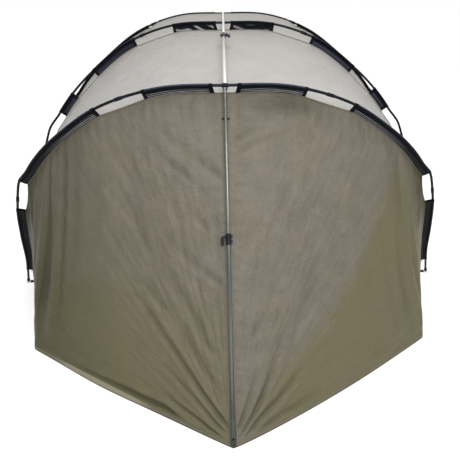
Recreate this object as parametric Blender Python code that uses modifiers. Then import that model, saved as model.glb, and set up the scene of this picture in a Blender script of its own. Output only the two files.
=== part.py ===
# Bivvy tent: three leaning hoops, a fly sewn to pole sleeves, a ridge pole and a rear prop pole.
# Metres, +Z up. The pointed rear wall faces -Y and the door faces +Y.
# Lengths are real sizes. A name that ends in share or shares holds fractions of another size.

import math

import bmesh
import bpy
from mathutils import Matrix, Vector

partName = "bivvy_tent"

# Clearances and drawing steps
clearance = 0.0003
fitGap = 0.0004
weldDistance = 0.00003
curveSteps = 6
outlineSteps = 5
capSteps = 3
turnSides = 12
searchSteps = 40
sharpestTurnShare = 0.2

# Hoops: one bent pole shape, used three times
hoopHalfWidth = 1.5
hoopHeight = 1.79
hoopOutlineShares = (
    (0.0, 1.0), (0.236, 0.992), (0.458, 0.9255), (0.6435, 0.8065), (0.804, 0.673),
    (0.886, 0.4957), (0.928, 0.3221), (0.9567, 0.159), (1.0, 0.0),
)
poleRadius = 0.008
poleSides = 8
crownJointShare = 0.218
legJointShare = 0.642
hoopStations = 20
ferruleHalfLength = 0.022
ferruleWall = 0.0018
ferruleGripShare = 0.8

# Ground plan, in depth from the middle of the tent
rearHoopFootY = 0.0686
middleHoopSetback = 0.133
frontHoopSetback = 0.646
rearHoopLean = math.radians(19.8)
middleHoopLean = math.radians(-16.8)
frontHoopLean = math.radians(-26.1)
rearCornerHalfWidth = 1.262
rearCornerSetback = 0.734
rearTipSetback = 1.5525

# Pole sleeves and the piping at their roots
sleeveDepth = 0.05
frontSleeveDepth = 0.0155
sleeveCloth = 0.0012
sleeveLegHalfGap = 0.0012
sleeveRootShare = 0.25
sleeveArcSteps = 6
sleeveBend = math.radians(150)
pipingRadius = 0.0035
rearSleeveShares = ((0.025, 0.168), (0.278, 0.594), (0.69, 0.906))
middleSleeveShares = ((0.0195, 0.135), (0.242, 0.382), (0.463, 0.527), (0.69, 0.906))
frontSleeveShares = ((0.025, 0.2), (0.236, 0.62), (0.664, 0.906))

# Fly panels
clothThickness = 0.004
hemHeight = 0.03
wallRows = 12
bayRows = 3
cornerShare = 0.55
wallSag = 0.02
baySag = 0.016
wallSeamHalfGap = 0.00125
wallFootLift = 0.02
foldHeight = 0.007
foldCount = 2
foldReach = 0.45
foldFan = math.radians(62)

# Feet
footBallRadius = 0.011
footCapHeight = 0.04
footCapShoulder = 0.034
footCapNeck = 0.0095
ringWireRadius = 0.00175
ringRadius = 0.015
ringBarOffset = 0.0165
strapLayer = 0.0012
strapHalfWidth = 0.0115
strapLoopBend = math.radians(110)

# Groundsheet
groundsheetThickness = 0.003

# Door, zips and windows, measured in the plane of the front hoop
doorHalfBottom = 0.46
doorHalfTop = 0.36
headerHeight = 0.31
doorHeight = hoopHeight - headerHeight
zipWidth = 0.024
zipTapeThickness = 0.0016
zipChainWidth = 0.006
zipChainHeight = 0.003
sliderLength = 0.016
sliderWidth = 0.011
sliderHeight = 0.005
pullLength = 0.036
pullWidth = 0.008
pullThickness = 0.002
headerHalfWidth = 0.42
windowShares = ((0.43, 0.34), (0.8, 0.34), (0.715, 0.665), (0.43, 0.76))
windowCornerRadius = 0.05
paneThickness = 0.0015

# Telescopic poles
innerTubeRadius = 0.008
outerTubeWall = 0.0012
propFootOffset = 0.0155
propLockAt = 0.797
propOverlap = 0.3
propCapLength = 0.03
propCapWall = 0.003
propCapFloor = 0.005
ridgeLockAt = 0.905
ridgeOverlap = 0.17
ridgeBendRadius = 0.15

# Saddles that hook a pole end on a hoop
saddleHalfLength = 0.0125
saddleWall = 0.003
saddleArc = math.radians(54)
saddleArcSteps = 8
saddleArmWidth = 0.004
saddleArmThickness = 0.007
saddleArmInset = 0.0015
saddleReach = 0.026
socketWall = 0.003
socketLength = 0.016

# Cam locks on the telescopic poles
collarWall = 0.0048
collarTail = 0.022
collarHead = 0.038
collarLipWall = 0.003
collarRootDepth = 0.0012
lowLugShare = 0.25
highLugShare = 0.5
lugLength = 0.007
lugHeight = 0.012
lugThickness = 0.006
earThickness = 0.003
earReach = 0.009
earHeight = 0.013
pinRadius = 0.0022
leverThickness = 0.011
leverBand = 0.0065
leverArcRadius = 0.018
leverTail = 0.03
leverEyeRadius = 0.0042

# Straps and patches at the rear seam
tieLength = 0.042
tieWidth = 0.01
tieThickness = 0.0015
tieShare = 0.0725
tieLift = 0.004
patchHeight = 0.24
patchHalfTop = 0.011
patchHalfBottom = 0.02
patchThickness = 0.0015
patchGap = 0.0016
tongueStep = 0.004
tongueReachShare = 0.8

finishes = {
    "alloy_black": ((0.035, 0.035, 0.037), 0.42, 0.9),
    "alloy_silver": ((0.62, 0.63, 0.63), 0.32, 0.95),
    "alloy_grey": ((0.2, 0.21, 0.2), 0.45, 0.8),
    "steel": ((0.5, 0.5, 0.51), 0.3, 1.0),
    "plastic_black": ((0.02, 0.02, 0.022), 0.45, 0.0),
    "cloth_khaki": ((0.2, 0.18, 0.125), 0.8, 0.0),
    "cloth_black": ((0.02, 0.021, 0.026), 0.75, 0.0),
    "webbing": ((0.03, 0.03, 0.03), 0.85, 0.0),
    "sheet_black": ((0.04, 0.042, 0.04), 0.6, 0.0),
    "clear_film": ((0.75, 0.78, 0.78), 0.12, 0.0),
}


class Hoop:
    """One arched pole with its foot line, lean, sleeve depth and sleeve places."""

    def __init__(self, name, footY, lean, depth, sleeveShares):
        self.name = name
        self.footY = footY
        self.lean = lean
        self.depth = depth
        self.sleeveShares = sleeveShares
        self.matrix = Matrix.Translation((0, footY, 0)) @ Matrix.Rotation(math.pi / 2 + lean, 4, "X")


# Scene helpers

def clearScene():
    for item in list(bpy.data.objects):
        bpy.data.objects.remove(item)


def makeCollection(name):
    collection = bpy.data.collections.new(name)
    bpy.context.scene.collection.children.link(collection)
    return collection


def makeEmpty(name, matrix):
    empty = bpy.data.objects.new(name, None)
    empty.matrix_world = matrix
    partCollection.objects.link(empty)
    return empty


def addFinish(item, kind):
    color, roughness, metallic = finishes[kind]
    material = bpy.data.materials.new(item.name + "_" + kind)
    material.use_nodes = True
    shader = material.node_tree.nodes["Principled BSDF"]
    shader.inputs["Base Color"].default_value = (*color, 1)
    shader.inputs["Roughness"].default_value = roughness
    shader.inputs["Metallic"].default_value = metallic
    material.diffuse_color = (*color, 1)
    item.data.materials.clear()
    item.data.materials.append(material)
    return item


def addObject(name, data, matrix=None):
    item = bpy.data.objects.new(name, data)
    partCollection.objects.link(item)
    if matrix is not None:
        item.matrix_world = matrix
    return item


def hangOn(item, pivot):
    """Parent an object to the empty on its joint axis without moving it."""
    bpy.context.view_layer.update()
    item.parent = pivot
    item.matrix_parent_inverse = pivot.matrix_world.inverted()


def makeCutter(item):
    partCollection.objects.unlink(item)
    cutterCollection.objects.link(item)
    item.hide_render = True
    item.display_type = "WIRE"
    return item


def addBoolean(item, other, operation):
    modifier = item.modifiers.new(operation.lower(), "BOOLEAN")
    modifier.operation = operation
    modifier.solver = "EXACT"
    modifier.object = makeCutter(other)


def addWeld(item):
    weld = item.modifiers.new("weld", "WELD")
    weld.merge_threshold = weldDistance


def finishedMesh(item):
    """The evaluated mesh of an object in world places, with loose caps welded."""
    bpy.context.view_layer.update()
    graph = bpy.context.evaluated_depsgraph_get()
    mesh = bpy.data.meshes.new_from_object(item.evaluated_get(graph))
    mesh.transform(item.matrix_world)
    shape = bmesh.new()
    shape.from_mesh(mesh)
    bmesh.ops.remove_doubles(shape, verts=shape.verts, dist=weldDistance)
    shape.to_mesh(mesh)
    shape.free()
    return mesh


def meshed(item, matrix=None):
    """Swap a curve object for a mesh object of the same name, with its origin at the matrix."""
    name = item.name
    place = matrix if matrix is not None else Matrix()
    mesh = finishedMesh(item)
    mesh.transform(place.inverted())
    bpy.data.objects.remove(item)
    return addObject(name, mesh, place)


# Shape helpers

def smoothCurve(points, steps):
    """A curve through the points, mirrored at the first one, with steps points a span."""
    mirrored = Vector((-points[1].x, points[1].y))
    ends = [mirrored] + points + [2 * points[-1] - points[-2]]
    result = []
    for index in range(1, len(ends) - 2):
        a, b, c, d = ends[index - 1:index + 3]
        for step in range(steps):
            t = step / steps
            result.append(0.5 * (2 * b + (c - a) * t + (2 * a - 5 * b + 4 * c - d) * t ** 2
                                 + (3 * b - a - 3 * c + d) * t ** 3))
    result.append(points[-1].copy())
    return result


def clearRadius(radius, sides):
    """Radius of a polygon with this many sides that stays clear of a round of the given radius."""
    return (radius + clearance) / math.cos(math.pi / sides)


def makeCurve(name, splines, matrix=None, cyclic=False, flat=True):
    curve = bpy.data.curves.new(name, "CURVE")
    curve.dimensions = "2D" if flat else "3D"
    for points in splines:
        spline = curve.splines.new("POLY")
        spline.points.add(len(points) - 1)
        for target, point in zip(spline.points, points):
            height = point[2] if len(point) > 2 else 0
            target.co = (point[0], point[1], height, 1)
        spline.use_cyclic_u = cyclic
    return addObject(name, curve, matrix)


def makeRod(name, splines, radius, matrix=None, sides=poleSides, cyclic=False, flat=True):
    rod = makeCurve(name, splines, matrix, cyclic, flat)
    rod.data.bevel_depth = radius
    rod.data.bevel_resolution = (sides - 4) // 2
    rod.data.use_fill_caps = not cyclic
    return rod


def makePlate(name, outlines, thickness, matrix=None):
    """A flat outline, with any holes, extruded half its thickness to each side."""
    plate = makeCurve(name, outlines, matrix, cyclic=True)
    plate.data.fill_mode = "BOTH"
    plate.data.extrude = thickness / 2
    return plate


def makeTurned(name, profile, matrix=None, steps=turnSides, closed=False):
    """A profile of radius and height pairs, turned about its own Z axis."""
    mesh = bpy.data.meshes.new(name)
    edges = [(index, index + 1) for index in range(len(profile) - 1)]
    if closed:
        edges.append((len(profile) - 1, 0))
    mesh.from_pydata([(radius, 0, height) for radius, height in profile], edges, [])
    item = addObject(name, mesh, matrix)
    screw = item.modifiers.new("turn", "SCREW")
    screw.axis = "Z"
    screw.steps = steps
    screw.render_steps = steps
    screw.use_merge_vertices = True
    screw.merge_threshold = weldDistance
    return item


def makeRing(name, inner, outer, low, high, matrix=None, steps=turnSides):
    profile = [(inner, high), (outer, high), (outer, low), (inner, low)]
    return makeTurned(name, profile, matrix, steps, closed=True)


def makeBlock(name, low, high, matrix=None):
    mesh = bpy.data.meshes.new(name)
    shape = bmesh.new()
    bmesh.ops.create_cube(shape, size=1)
    size = Vector(high) - Vector(low)
    middle = (Vector(high) + Vector(low)) / 2
    bmesh.ops.scale(shape, vec=size, verts=shape.verts)
    bmesh.ops.translate(shape, vec=middle, verts=shape.verts)
    shape.to_mesh(mesh)
    shape.free()
    return addObject(name, mesh, matrix)


def makeSheet(name, grid, thickness):
    """A cloth panel: a grid of world points thickened evenly to both sides."""
    shape = bmesh.new()
    rows = [[shape.verts.new(point) for point in row] for row in grid]
    for row, below in zip(rows, rows[1:]):
        for index in range(len(row) - 1):
            shape.faces.new((row[index], row[index + 1], below[index + 1], below[index]))
    mesh = bpy.data.meshes.new(name)
    shape.to_mesh(mesh)
    shape.free()
    sheet = addObject(name, mesh)
    solid = sheet.modifiers.new("cloth", "SOLIDIFY")
    solid.thickness = thickness
    solid.offset = 0
    solid.use_even_offset = True
    return sheet


def roundedOutline(corners, radius, steps=outlineSteps):
    """The outline of a polygon with each corner rounded off."""
    points = []
    for index, corner in enumerate(corners):
        here = Vector(corner)
        back = (Vector(corners[index - 1]) - here).normalized()
        ahead = (Vector(corners[(index + 1) % len(corners)]) - here).normalized()
        half = back.angle(ahead) / 2
        reach = radius / math.tan(half)
        middle = here + (back + ahead).normalized() * (radius / math.sin(half))
        start = here + back * reach - middle
        turn = start.angle_signed(here + ahead * reach - middle)
        for step in range(steps + 1):
            points.append(middle + Matrix.Rotation(-turn * step / steps, 2) @ start)
    return points


def insetOutline(points, distance):
    """The outline moved inwards by a distance; the points run anticlockwise."""
    result = []
    for index, point in enumerate(points):
        here = Vector(point[:2])
        back = (here - Vector(points[index - 1][:2])).normalized()
        ahead = (Vector(points[(index + 1) % len(points)][:2]) - here).normalized()
        normal = Vector((-back.y - ahead.y, back.x + ahead.x)).normalized()
        stretch = max(normal.dot(Vector((-back.y, back.x))), sharpestTurnShare)
        result.append(here + normal * distance / stretch)
    return result


# Hoop geometry

def buildHoopPath():
    """The hoop's right half as straight runs between evenly spaced stations, from the crown."""
    points = [Vector((across * hoopHalfWidth, up * hoopHeight)) for across, up in hoopOutlineShares]
    smooth = smoothCurve(points, curveSteps)
    reach = [0]
    for start, end in zip(smooth, smooth[1:]):
        reach.append(reach[-1] + (end - start).length)
    path = []
    index = 0
    for station in range(hoopStations + 1):
        target = reach[-1] * station / hoopStations
        while index < len(smooth) - 2 and reach[index + 1] < target:
            index += 1
        share = (target - reach[index]) / (reach[index + 1] - reach[index])
        path.append(smooth[index].lerp(smooth[index + 1], share))
    lengths = [0]
    for start, end in zip(path, path[1:]):
        lengths.append(lengths[-1] + (end - start).length)
    return path, lengths


def buildHoopOffsets():
    """Outward vector at each station that moves both neighbouring runs out by one unit."""
    offsets = []
    for index in range(len(hoopPath)):
        here = hoopPath[index]
        ahead = hoopPath[min(index + 1, hoopStations)]
        back = hoopPath[index - 1] if index else Vector((-ahead.x, ahead.y))
        if index == hoopStations:
            ahead = here + (here - back)
        into = (here - back).normalized()
        out = (ahead - here).normalized()
        first = Vector((-into.y, into.x))
        normal = (first + Vector((-out.y, out.x))).normalized()
        offsets.append(normal / normal.dot(first))
    return offsets


def hoopSpan(length):
    """Index and share along the run of the hoop that holds an unsigned length from the crown."""
    target = min(abs(length), hoopLengths[-1])
    index = 0
    while index < hoopStations - 1 and hoopLengths[index + 1] <= target:
        index += 1
    share = (target - hoopLengths[index]) / (hoopLengths[index + 1] - hoopLengths[index])
    return index, share


def insetPoint(length, inset):
    """Place in the hoop's own plane at a signed length from the crown, moved towards the fly."""
    index, share = hoopSpan(length)
    start = hoopPath[index] - hoopOffsets[index] * inset
    end = hoopPath[index + 1] - hoopOffsets[index + 1] * inset
    place = start.lerp(end, share)
    return Vector((-place.x, place.y)) if length < 0 else place


def worldPoint(hoop, length, inset):
    flat = insetPoint(length, inset)
    return hoop.matrix @ Vector((flat.x, flat.y, 0))


def lengthAtHeight(hoop, inset, height):
    """Length from the crown at which the inset curve comes down to a world height."""
    low = hoopLengths[-1] * legJointShare
    high = hoopLengths[-1]
    for _ in range(searchSteps):
        middle = (low + high) / 2
        if worldPoint(hoop, middle, inset).z > height:
            low = middle
        else:
            high = middle
    return low


def insetRun(start, end, inset):
    """Points of the inset curve between two signed lengths: its ends and the stations between."""
    low, high = sorted((start, end))
    stations = [side * length for side in (-1, 1) for length in hoopLengths[1:]] + [0]
    between = sorted(length for length in stations if low + fitGap < length < high - fitGap)
    lengths = [low] + between + [high]
    points = [insetPoint(length, inset) for length in lengths]
    return points if start < end else points[::-1]


# Frame poles

def jointFrame(hoop, length):
    """Frame on the hoop whose Z runs along the pole, away from the crown."""
    place = insetPoint(length, 0)
    side = -1 if length < 0 else 1
    ahead = insetPoint(length + side * ferruleHalfLength, 0)
    along = Vector((ahead.x - place.x, ahead.y - place.y, 0))
    turn = along.to_track_quat("Z", "Y").to_matrix().to_4x4()
    return hoop.matrix @ Matrix.Translation((place.x, place.y, 0)) @ turn


def addFerrule(rod, hoop, length):
    """Swage an outside ferrule on a pole end; its free half takes the next section."""
    free = clearRadius(poleRadius, turnSides)
    grip = poleRadius * ferruleGripShare
    outer = free + ferruleWall
    top = ferruleHalfLength
    profile = [(free, top), (outer, top), (outer, -top), (grip, -top), (grip, -clearance),
               (free, -clearance)]
    ring = makeTurned(rod.name + "_ferrule", profile, jointFrame(hoop, length), closed=True)
    addBoolean(rod, ring, "UNION")


def makeHoopPoles(hoop):
    end = hoopLengths[-1]
    crown = crownJointShare * end
    leg = legJointShare * end
    half = clearance / 2
    spans = {
        "crown": (-crown + half, crown - half),
        "left_shoulder": (-leg + half, -crown - half),
        "right_shoulder": (crown + half, leg - half),
        "left_leg": (-end + footBallRadius, -leg - half),
        "right_leg": (leg + half, end - footBallRadius),
    }
    rods = {}
    for place, (start, stop) in spans.items():
        points = insetRun(start, stop, 0)
        rod = meshed(makeRod(hoop.name + "_hoop_" + place, [points], poleRadius, hoop.matrix), hoop.matrix)
        rods[place] = addFinish(rod, "alloy_black")
    for side, place in ((-1, "left"), (1, "right")):
        addFerrule(rods["crown"], hoop, side * crown)
        addFerrule(rods[place + "_shoulder"], hoop, side * leg)
        addFootCap(rods[place + "_leg"], hoop, side)
    for rod in rods.values():
        addWeld(rod)


def footPlace(hoop, side):
    """World place of the ball under a hoop's leg."""
    place = worldPoint(hoop, side * hoopLengths[-1], 0)
    place.z = footBallRadius + fitGap
    return place


def addFootCap(rod, hoop, side):
    """Mould a ball-ended cap over the end of a hoop leg."""
    profile = [(0, footCapHeight), (footCapNeck, footCapHeight), (footBallRadius, footCapShoulder),
               (footBallRadius, 0)]
    for step in range(1, capSteps):
        angle = math.pi / 2 * step / capSteps
        profile.append((footBallRadius * math.cos(angle), -footBallRadius * math.sin(angle)))
    profile.append((0, -footBallRadius))
    upper = worldPoint(hoop, side * (hoopLengths[-1] - footCapHeight), 0)
    place = footPlace(hoop, side)
    turn = (upper - place).to_track_quat("Z", "Y").to_matrix().to_4x4()
    cap = makeTurned(rod.name + "_cap", profile, Matrix.Translation(place) @ turn)
    addBoolean(rod, cap, "UNION")


def makeFootRing(hoop, side, place):
    """D-shaped wire ring on the ground round a ball foot."""
    centre = footPlace(hoop, side)
    bar = -side * ringBarOffset
    points = [(bar, -ringRadius), (bar, ringRadius)]
    for step in range(curveSteps + 1):
        angle = math.pi / 2 - math.pi * step / curveSteps
        points.append((side * ringRadius * math.cos(angle), ringRadius * math.sin(angle)))
    matrix = Matrix.Translation((centre.x, centre.y, ringHeight()))
    name = "foot_ring_" + hoop.name + "_" + place
    addFinish(makeRod(name, [points], ringWireRadius, matrix, sides=6, cyclic=True), "steel")


def ringHeight():
    return ringWireRadius + strapLayer + 2 * fitGap


def makeFootStrap(hoop, side):
    """Webbing loop from the hem round the straight bar of a foot ring."""
    eye = clearRadius(ringWireRadius, turnSides)
    loop = eye + strapLayer
    centre = footPlace(hoop, side)
    bar = centre.x - side * ringBarOffset
    reach = abs(bar) - hemHalfWidthAt(centre.y)
    outline = [(-reach, -loop), (-reach, -loop + 2 * strapLayer)]
    bend = strapLoopBend
    for step in range(turnSides + 1):
        angle = bend - 2 * bend * step / turnSides
        outline.append((loop * math.cos(angle), loop * math.sin(angle)))
    hole = []
    for step in range(turnSides):
        angle = math.tau * step / turnSides
        hole.append((eye * math.cos(angle), eye * math.sin(angle)))
    turn = Matrix.Rotation(math.pi / 2, 4, "X")
    if side < 0:
        turn = Matrix.Rotation(math.pi, 4, "Z") @ turn
    matrix = Matrix.Translation((bar, centre.y, ringHeight())) @ turn
    return meshed(makePlate(hoop.name + "_strap", [outline, hole], 2 * strapHalfWidth, matrix))


# Sleeves and piping

def makeSleeves(hoop):
    """Cloth loops round the pole, sewn along their roots to one round piping cord."""
    radius = (poleRadius + clearance) / math.cos(sleeveBend / sleeveArcSteps)
    root = hoop.depth + pipingRadius * sleeveRootShare
    profile = [(root, sleeveLegHalfGap)]
    for index in range(sleeveArcSteps + 1):
        angle = sleeveBend - 2 * sleeveBend * index / sleeveArcSteps
        profile.append((-radius * math.cos(angle), radius * math.sin(angle)))
    profile.append((root, -sleeveLegHalfGap))
    section = makeCutter(makeCurve(hoop.name + "_sleeve_section", [profile]))
    stop = lengthAtHeight(hoop, hoop.depth, hemHeight + clearance + pipingRadius)
    points = insetRun(-stop, stop, hoop.depth)
    sleeves = meshed(makeRod(hoop.name + "_hoop_sleeves", [points], pipingRadius, hoop.matrix, sides=6),
                     hoop.matrix)
    for first, last in hoop.sleeveShares:
        for side in (-1, 1):
            ends = sorted((side * first * hoopLengths[-1], side * last * hoopLengths[-1]))
            run = insetRun(ends[0], ends[1], 0)
            loop = makeCurve(hoop.name + "_sleeve_loop", [run], hoop.matrix)
            loop.data.bevel_mode = "OBJECT"
            loop.data.bevel_object = section
            solid = loop.modifiers.new("cloth", "SOLIDIFY")
            solid.thickness = sleeveCloth
            solid.offset = -1
            solid.use_even_offset = True
            addBoolean(sleeves, meshed(loop), "UNION")
    addWeld(sleeves)
    addFinish(sleeves, "cloth_black")


# Fly panels

def seamEnd(hoop):
    return lengthAtHeight(hoop, hoop.depth, hemHeight + clearance + clothThickness / 2)


def trimmedRow(start, end, startTrim, endTrim, count):
    """Evenly spaced points on a straight line, trimmed at both ends."""
    along = (end - start).normalized()
    first = start + along * startTrim
    last = end - along * endTrim
    return [first.lerp(last, step / count) for step in range(count + 1)]


def seamTrim(hoop, length, direction):
    """How far a row that leaves the seam in this direction is cut back to clear the piping."""
    here = worldPoint(hoop, length, hoop.depth)
    along = worldPoint(hoop, length + clothThickness, hoop.depth) - here
    return (pipingRadius + clearance + fitGap) / math.sin(along.angle(direction))


def groundPoint(side, share):
    """A place on the rear ground line, from the tip (0) by the corner to the rear foot (1)."""
    height = hemHeight + clearance + clothThickness / 2
    tip = Vector((side * wallSeamHalfGap, rearHoopFootY - rearTipSetback, height))
    corner = Vector((side * rearCornerHalfWidth, rearHoopFootY - rearCornerSetback, height))
    foot = worldPoint(rearHoop, side * seamEnd(rearHoop), rearHoop.depth)
    if share < cornerShare:
        return tip.lerp(corner, share / cornerShare)
    return corner.lerp(foot, (share - cornerShare) / (1 - cornerShare))


def shapedPanel(grid, offset):
    """Move the grid's points along the panel's outward normals by offset(row, column, point)."""
    shaped = []
    for row in range(len(grid)):
        line = []
        for column in range(len(grid[row])):
            before = grid[max(row - 1, 0)][column]
            after = grid[min(row + 1, len(grid) - 1)][column]
            left = grid[row][max(column - 1, 0)]
            right = grid[row][min(column + 1, len(grid[row]) - 1)]
            normal = (after - before).cross(right - left).normalized()
            outward = Vector((grid[row][column].x, grid[row][column].y, hoopHeight / 2))
            if normal.dot(outward) < 0:
                normal = -normal
            line.append(grid[row][column] + normal * offset(row, column, grid[row][column]))
        shaped.append(line)
    return shaped


def seatFoot(edge, above):
    """Lower or lift a panel's bottom edge until its cloth stands on the hem."""
    for index, point in enumerate(edge):
        before = edge[max(index - 1, 0)]
        after = edge[min(index + 1, len(edge) - 1)]
        normal = (after - before).cross(above[index] - point).normalized()
        point.z = hemHeight + fitGap + clothThickness / 2 * abs(normal.z)


def stationShares(last):
    """Shares of a length from the crown at which the hoop's stations lie, with both ends."""
    shares = [length / last for length in hoopLengths if length < last - wallFootLift]
    return shares + [1]


def rearWallGrid(side):
    end = seamEnd(rearHoop)
    last = lengthAtHeight(rearHoop, rearHoop.depth, hemHeight + wallFootLift)
    shares = stationShares(last)
    grid = []
    for share in shares:
        top = worldPoint(rearHoop, side * max(share * last, wallSeamHalfGap), rearHoop.depth)
        groundShare = share * (1 - wallFootLift / (end * (1 - cornerShare)))
        ground = groundPoint(side, groundShare)
        trim = seamTrim(rearHoop, side * share * last, ground - top)
        grid.append(trimmedRow(top, ground, trim, 0, wallRows))
    tip = groundPoint(side, 0)
    seam = (grid[0][0] - tip).normalized()

    def offset(column, row, point):
        across = math.sin(math.pi * shares[column])
        down = math.sin(math.pi * row / wallRows)
        reach = (point - tip).length
        angle = seam.angle(point - tip) if reach > clothThickness else 0
        fade = reach / foldReach * math.exp(1 - reach / foldReach)
        fold = foldHeight * math.sin(math.tau * foldCount * angle / foldFan) * fade
        return (fold - wallSag) * down * across

    shaped = shapedPanel(grid, offset)
    seatFoot([line[-1] for line in shaped], [line[-2] for line in shaped])
    return shaped


def makeRearWall(side, place):
    wall = makeSheet("rear_wall_" + place, rearWallGrid(side), clothThickness)
    addFinish(wall, "cloth_khaki")


def bayGrid(rear, front, side):
    rearEnd = seamEnd(rear)
    frontEnd = seamEnd(front)
    shares = stationShares(rearEnd)
    grid = []
    for share in shares:
        length = share * rearEnd
        frontLength = frontEnd if share == 1 else length
        start = worldPoint(rear, side * max(length, clearance / 2), rear.depth)
        end = worldPoint(front, side * max(frontLength, clearance / 2), front.depth)
        startTrim = seamTrim(rear, side * length, end - start)
        endTrim = seamTrim(front, side * frontLength, end - start)
        grid.append(trimmedRow(start, end, startTrim, endTrim, bayRows))

    def offset(column, row, point):
        return -baySag * math.sin(math.pi * row / bayRows) * (1 - shares[column] ** 4)

    shaped = shapedPanel(grid, offset)
    for point in shaped[0]:
        point.x = side * clearance / 2
    seatFoot(shaped[-1], shaped[-2])
    return shaped


def makeBay(name, rear, front, side):
    addFinish(makeSheet(name, bayGrid(rear, front, side), clothThickness), "cloth_khaki")


# Hem and groundsheet

def hemCorner(hoop, side):
    place = worldPoint(hoop, side * lengthAtHeight(hoop, hoop.depth, hemHeight), hoop.depth)
    return Vector((place.x, place.y))


def hemLine(side):
    """The hem's centre line on the ground, from the front foot to the rear tip."""
    corner = Vector((side * rearCornerHalfWidth, rearHoopFootY - rearCornerSetback))
    tip = Vector((side * wallSeamHalfGap, rearHoopFootY - rearTipSetback))
    return [hemCorner(frontHoop, side), hemCorner(middleHoop, side), hemCorner(rearHoop, side),
            corner, tip]


def hemHalfWidthAt(depthPlace):
    """Half width of the hem line at a world Y between its front and rear feet."""
    line = hemLine(1)
    for start, end in zip(line, line[1:]):
        if end.y <= depthPlace <= start.y:
            share = (depthPlace - start.y) / (end.y - start.y)
            return start.x + (end.x - start.x) * share
    return line[0].x if depthPlace > line[0].y else line[-1].x


def makeHemStrip(name, points):
    strip = makeCurve(name, [points], Matrix.Translation((0, 0, hemHeight / 2)))
    strip.data.extrude = hemHeight / 2
    solid = strip.modifiers.new("tape", "SOLIDIFY")
    solid.thickness = clothThickness
    solid.offset = 0
    solid.use_even_offset = True
    return addFinish(meshed(strip), "cloth_khaki")


def makeHems():
    for side, place in ((-1, "left"), (1, "right")):
        hem = makeHemStrip("hem_" + place, hemLine(side))
        for hoop in hoops:
            addBoolean(hem, makeFootStrap(hoop, side), "UNION")
            makeFootRing(hoop, side, place)
    corner = hemCorner(frontHoop, 1)
    inset = clothThickness / 2 + 2 * clearance
    makeHemStrip("hem_front", [(-corner.x + inset, corner.y), (corner.x - inset, corner.y)])


def makeGroundsheet():
    right = hemLine(1)
    left = [Vector((-point.x, point.y)) for point in reversed(right)]
    outline = list(reversed(right[:-1])) + list(reversed(left[1:]))
    tip = Vector((0, right[-1].y))
    outline = [tip] + outline
    inset = insetOutline(outline, clothThickness / 2 + clearance)
    matrix = Matrix.Translation((0, 0, groundsheetThickness / 2))
    addFinish(makePlate("groundsheet", [inset], groundsheetThickness, matrix), "sheet_black")


# Front wall, in the plane of the front hoop

def frontSill():
    lean = frontHoop.lean
    return (hemHeight + fitGap + clothThickness / 2 * math.sin(abs(lean))) / math.cos(lean)


def doorHalf(height):
    share = (height - frontSill()) / (doorHeight - frontSill())
    return doorHalfBottom + (doorHalfTop - doorHalfBottom) * share


def frontEdge(height=None, across=None):
    """Length on the inset front curve at which it reaches a height or a half width."""
    low = 0
    high = hoopLengths[-1]
    for _ in range(searchSteps):
        middle = (low + high) / 2
        point = insetPoint(middle, frontTrim())
        inside = point.y > height if height is not None else point.x < across
        if inside:
            low = middle
        else:
            high = middle
    return low


def frontTrim():
    return frontHoop.depth + pipingRadius + clearance


def frontWallOutline(side):
    bottom = frontSill()
    inner = zipWidth + 2 * clearance
    start = frontEdge(height=bottom)
    stop = frontEdge(across=headerHalfWidth)
    outline = [Vector((doorHalf(bottom) + inner, bottom))]
    outline += insetRun(start, stop, frontTrim())
    outline += [Vector((headerHalfWidth, doorHeight)), Vector((doorHalf(doorHeight) + inner, doorHeight))]
    return [Vector((side * point.x, point.y)) for point in outline]


def windowOutline(side, inset=0):
    corners = [Vector((across * hoopHalfWidth, up * hoopHeight)) for across, up in windowShares]
    outline = roundedOutline(corners, windowCornerRadius)
    if inset:
        outline = insetOutline(outline, inset)
    return [Vector((side * point.x, point.y)) for point in outline]


def makeFrontWall(side, place):
    wall = makePlate("front_wall_" + place, [frontWallOutline(side), windowOutline(side)],
                     clothThickness, frontHoop.matrix)
    addFinish(wall, "cloth_khaki")
    pane = makePlate("window_pane_" + place, [windowOutline(side, clearance)], paneThickness,
                     frontHoop.matrix)
    addFinish(pane, "clear_film")


def makeHeader():
    edge = frontEdge(across=headerHalfWidth - clearance)
    outline = [Vector((headerHalfWidth - clearance, doorHeight + clearance))]
    outline += insetRun(edge, -edge, frontTrim())
    outline.append(Vector((-headerHalfWidth + clearance, doorHeight + clearance)))
    header = makePlate("front_header", [outline], clothThickness, frontHoop.matrix)
    addFinish(header, "cloth_khaki")


def doorHingePlace():
    """The lower outer edge of the door, which it folds out over."""
    return frontHoop.matrix @ Vector((0, frontSill() + clearance, -clothThickness / 2))


def makeDoor():
    bottom = frontSill() + clearance
    top = doorHeight
    outline = [(-doorHalf(bottom), bottom), (doorHalf(bottom), bottom), (doorHalf(top), top),
               (-doorHalf(top), top)]
    hinge = makeEmpty("door_hinge_line", Matrix.Translation(doorHingePlace()))
    door = makePlate("door_panel", [outline], clothThickness, frontHoop.matrix)
    hangOn(door, hinge)
    addFinish(door, "cloth_khaki")


def zipFrame(side):
    """Frame on a zip: Y runs up the zip, X across it and Z out of the tent."""
    bottom = frontSill()
    half = zipWidth / 2 + clearance
    start = Vector((side * (doorHalf(bottom) + half), bottom, 0))
    end = Vector((side * (doorHalf(doorHeight) + half), doorHeight, 0))
    up = (end - start).normalized()
    outward = Vector((0, 0, -1))
    across = up.cross(outward)
    turn = Matrix((across, up, outward)).transposed().to_4x4()
    return frontHoop.matrix @ Matrix.Translation(start) @ turn, (end - start).length


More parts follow.
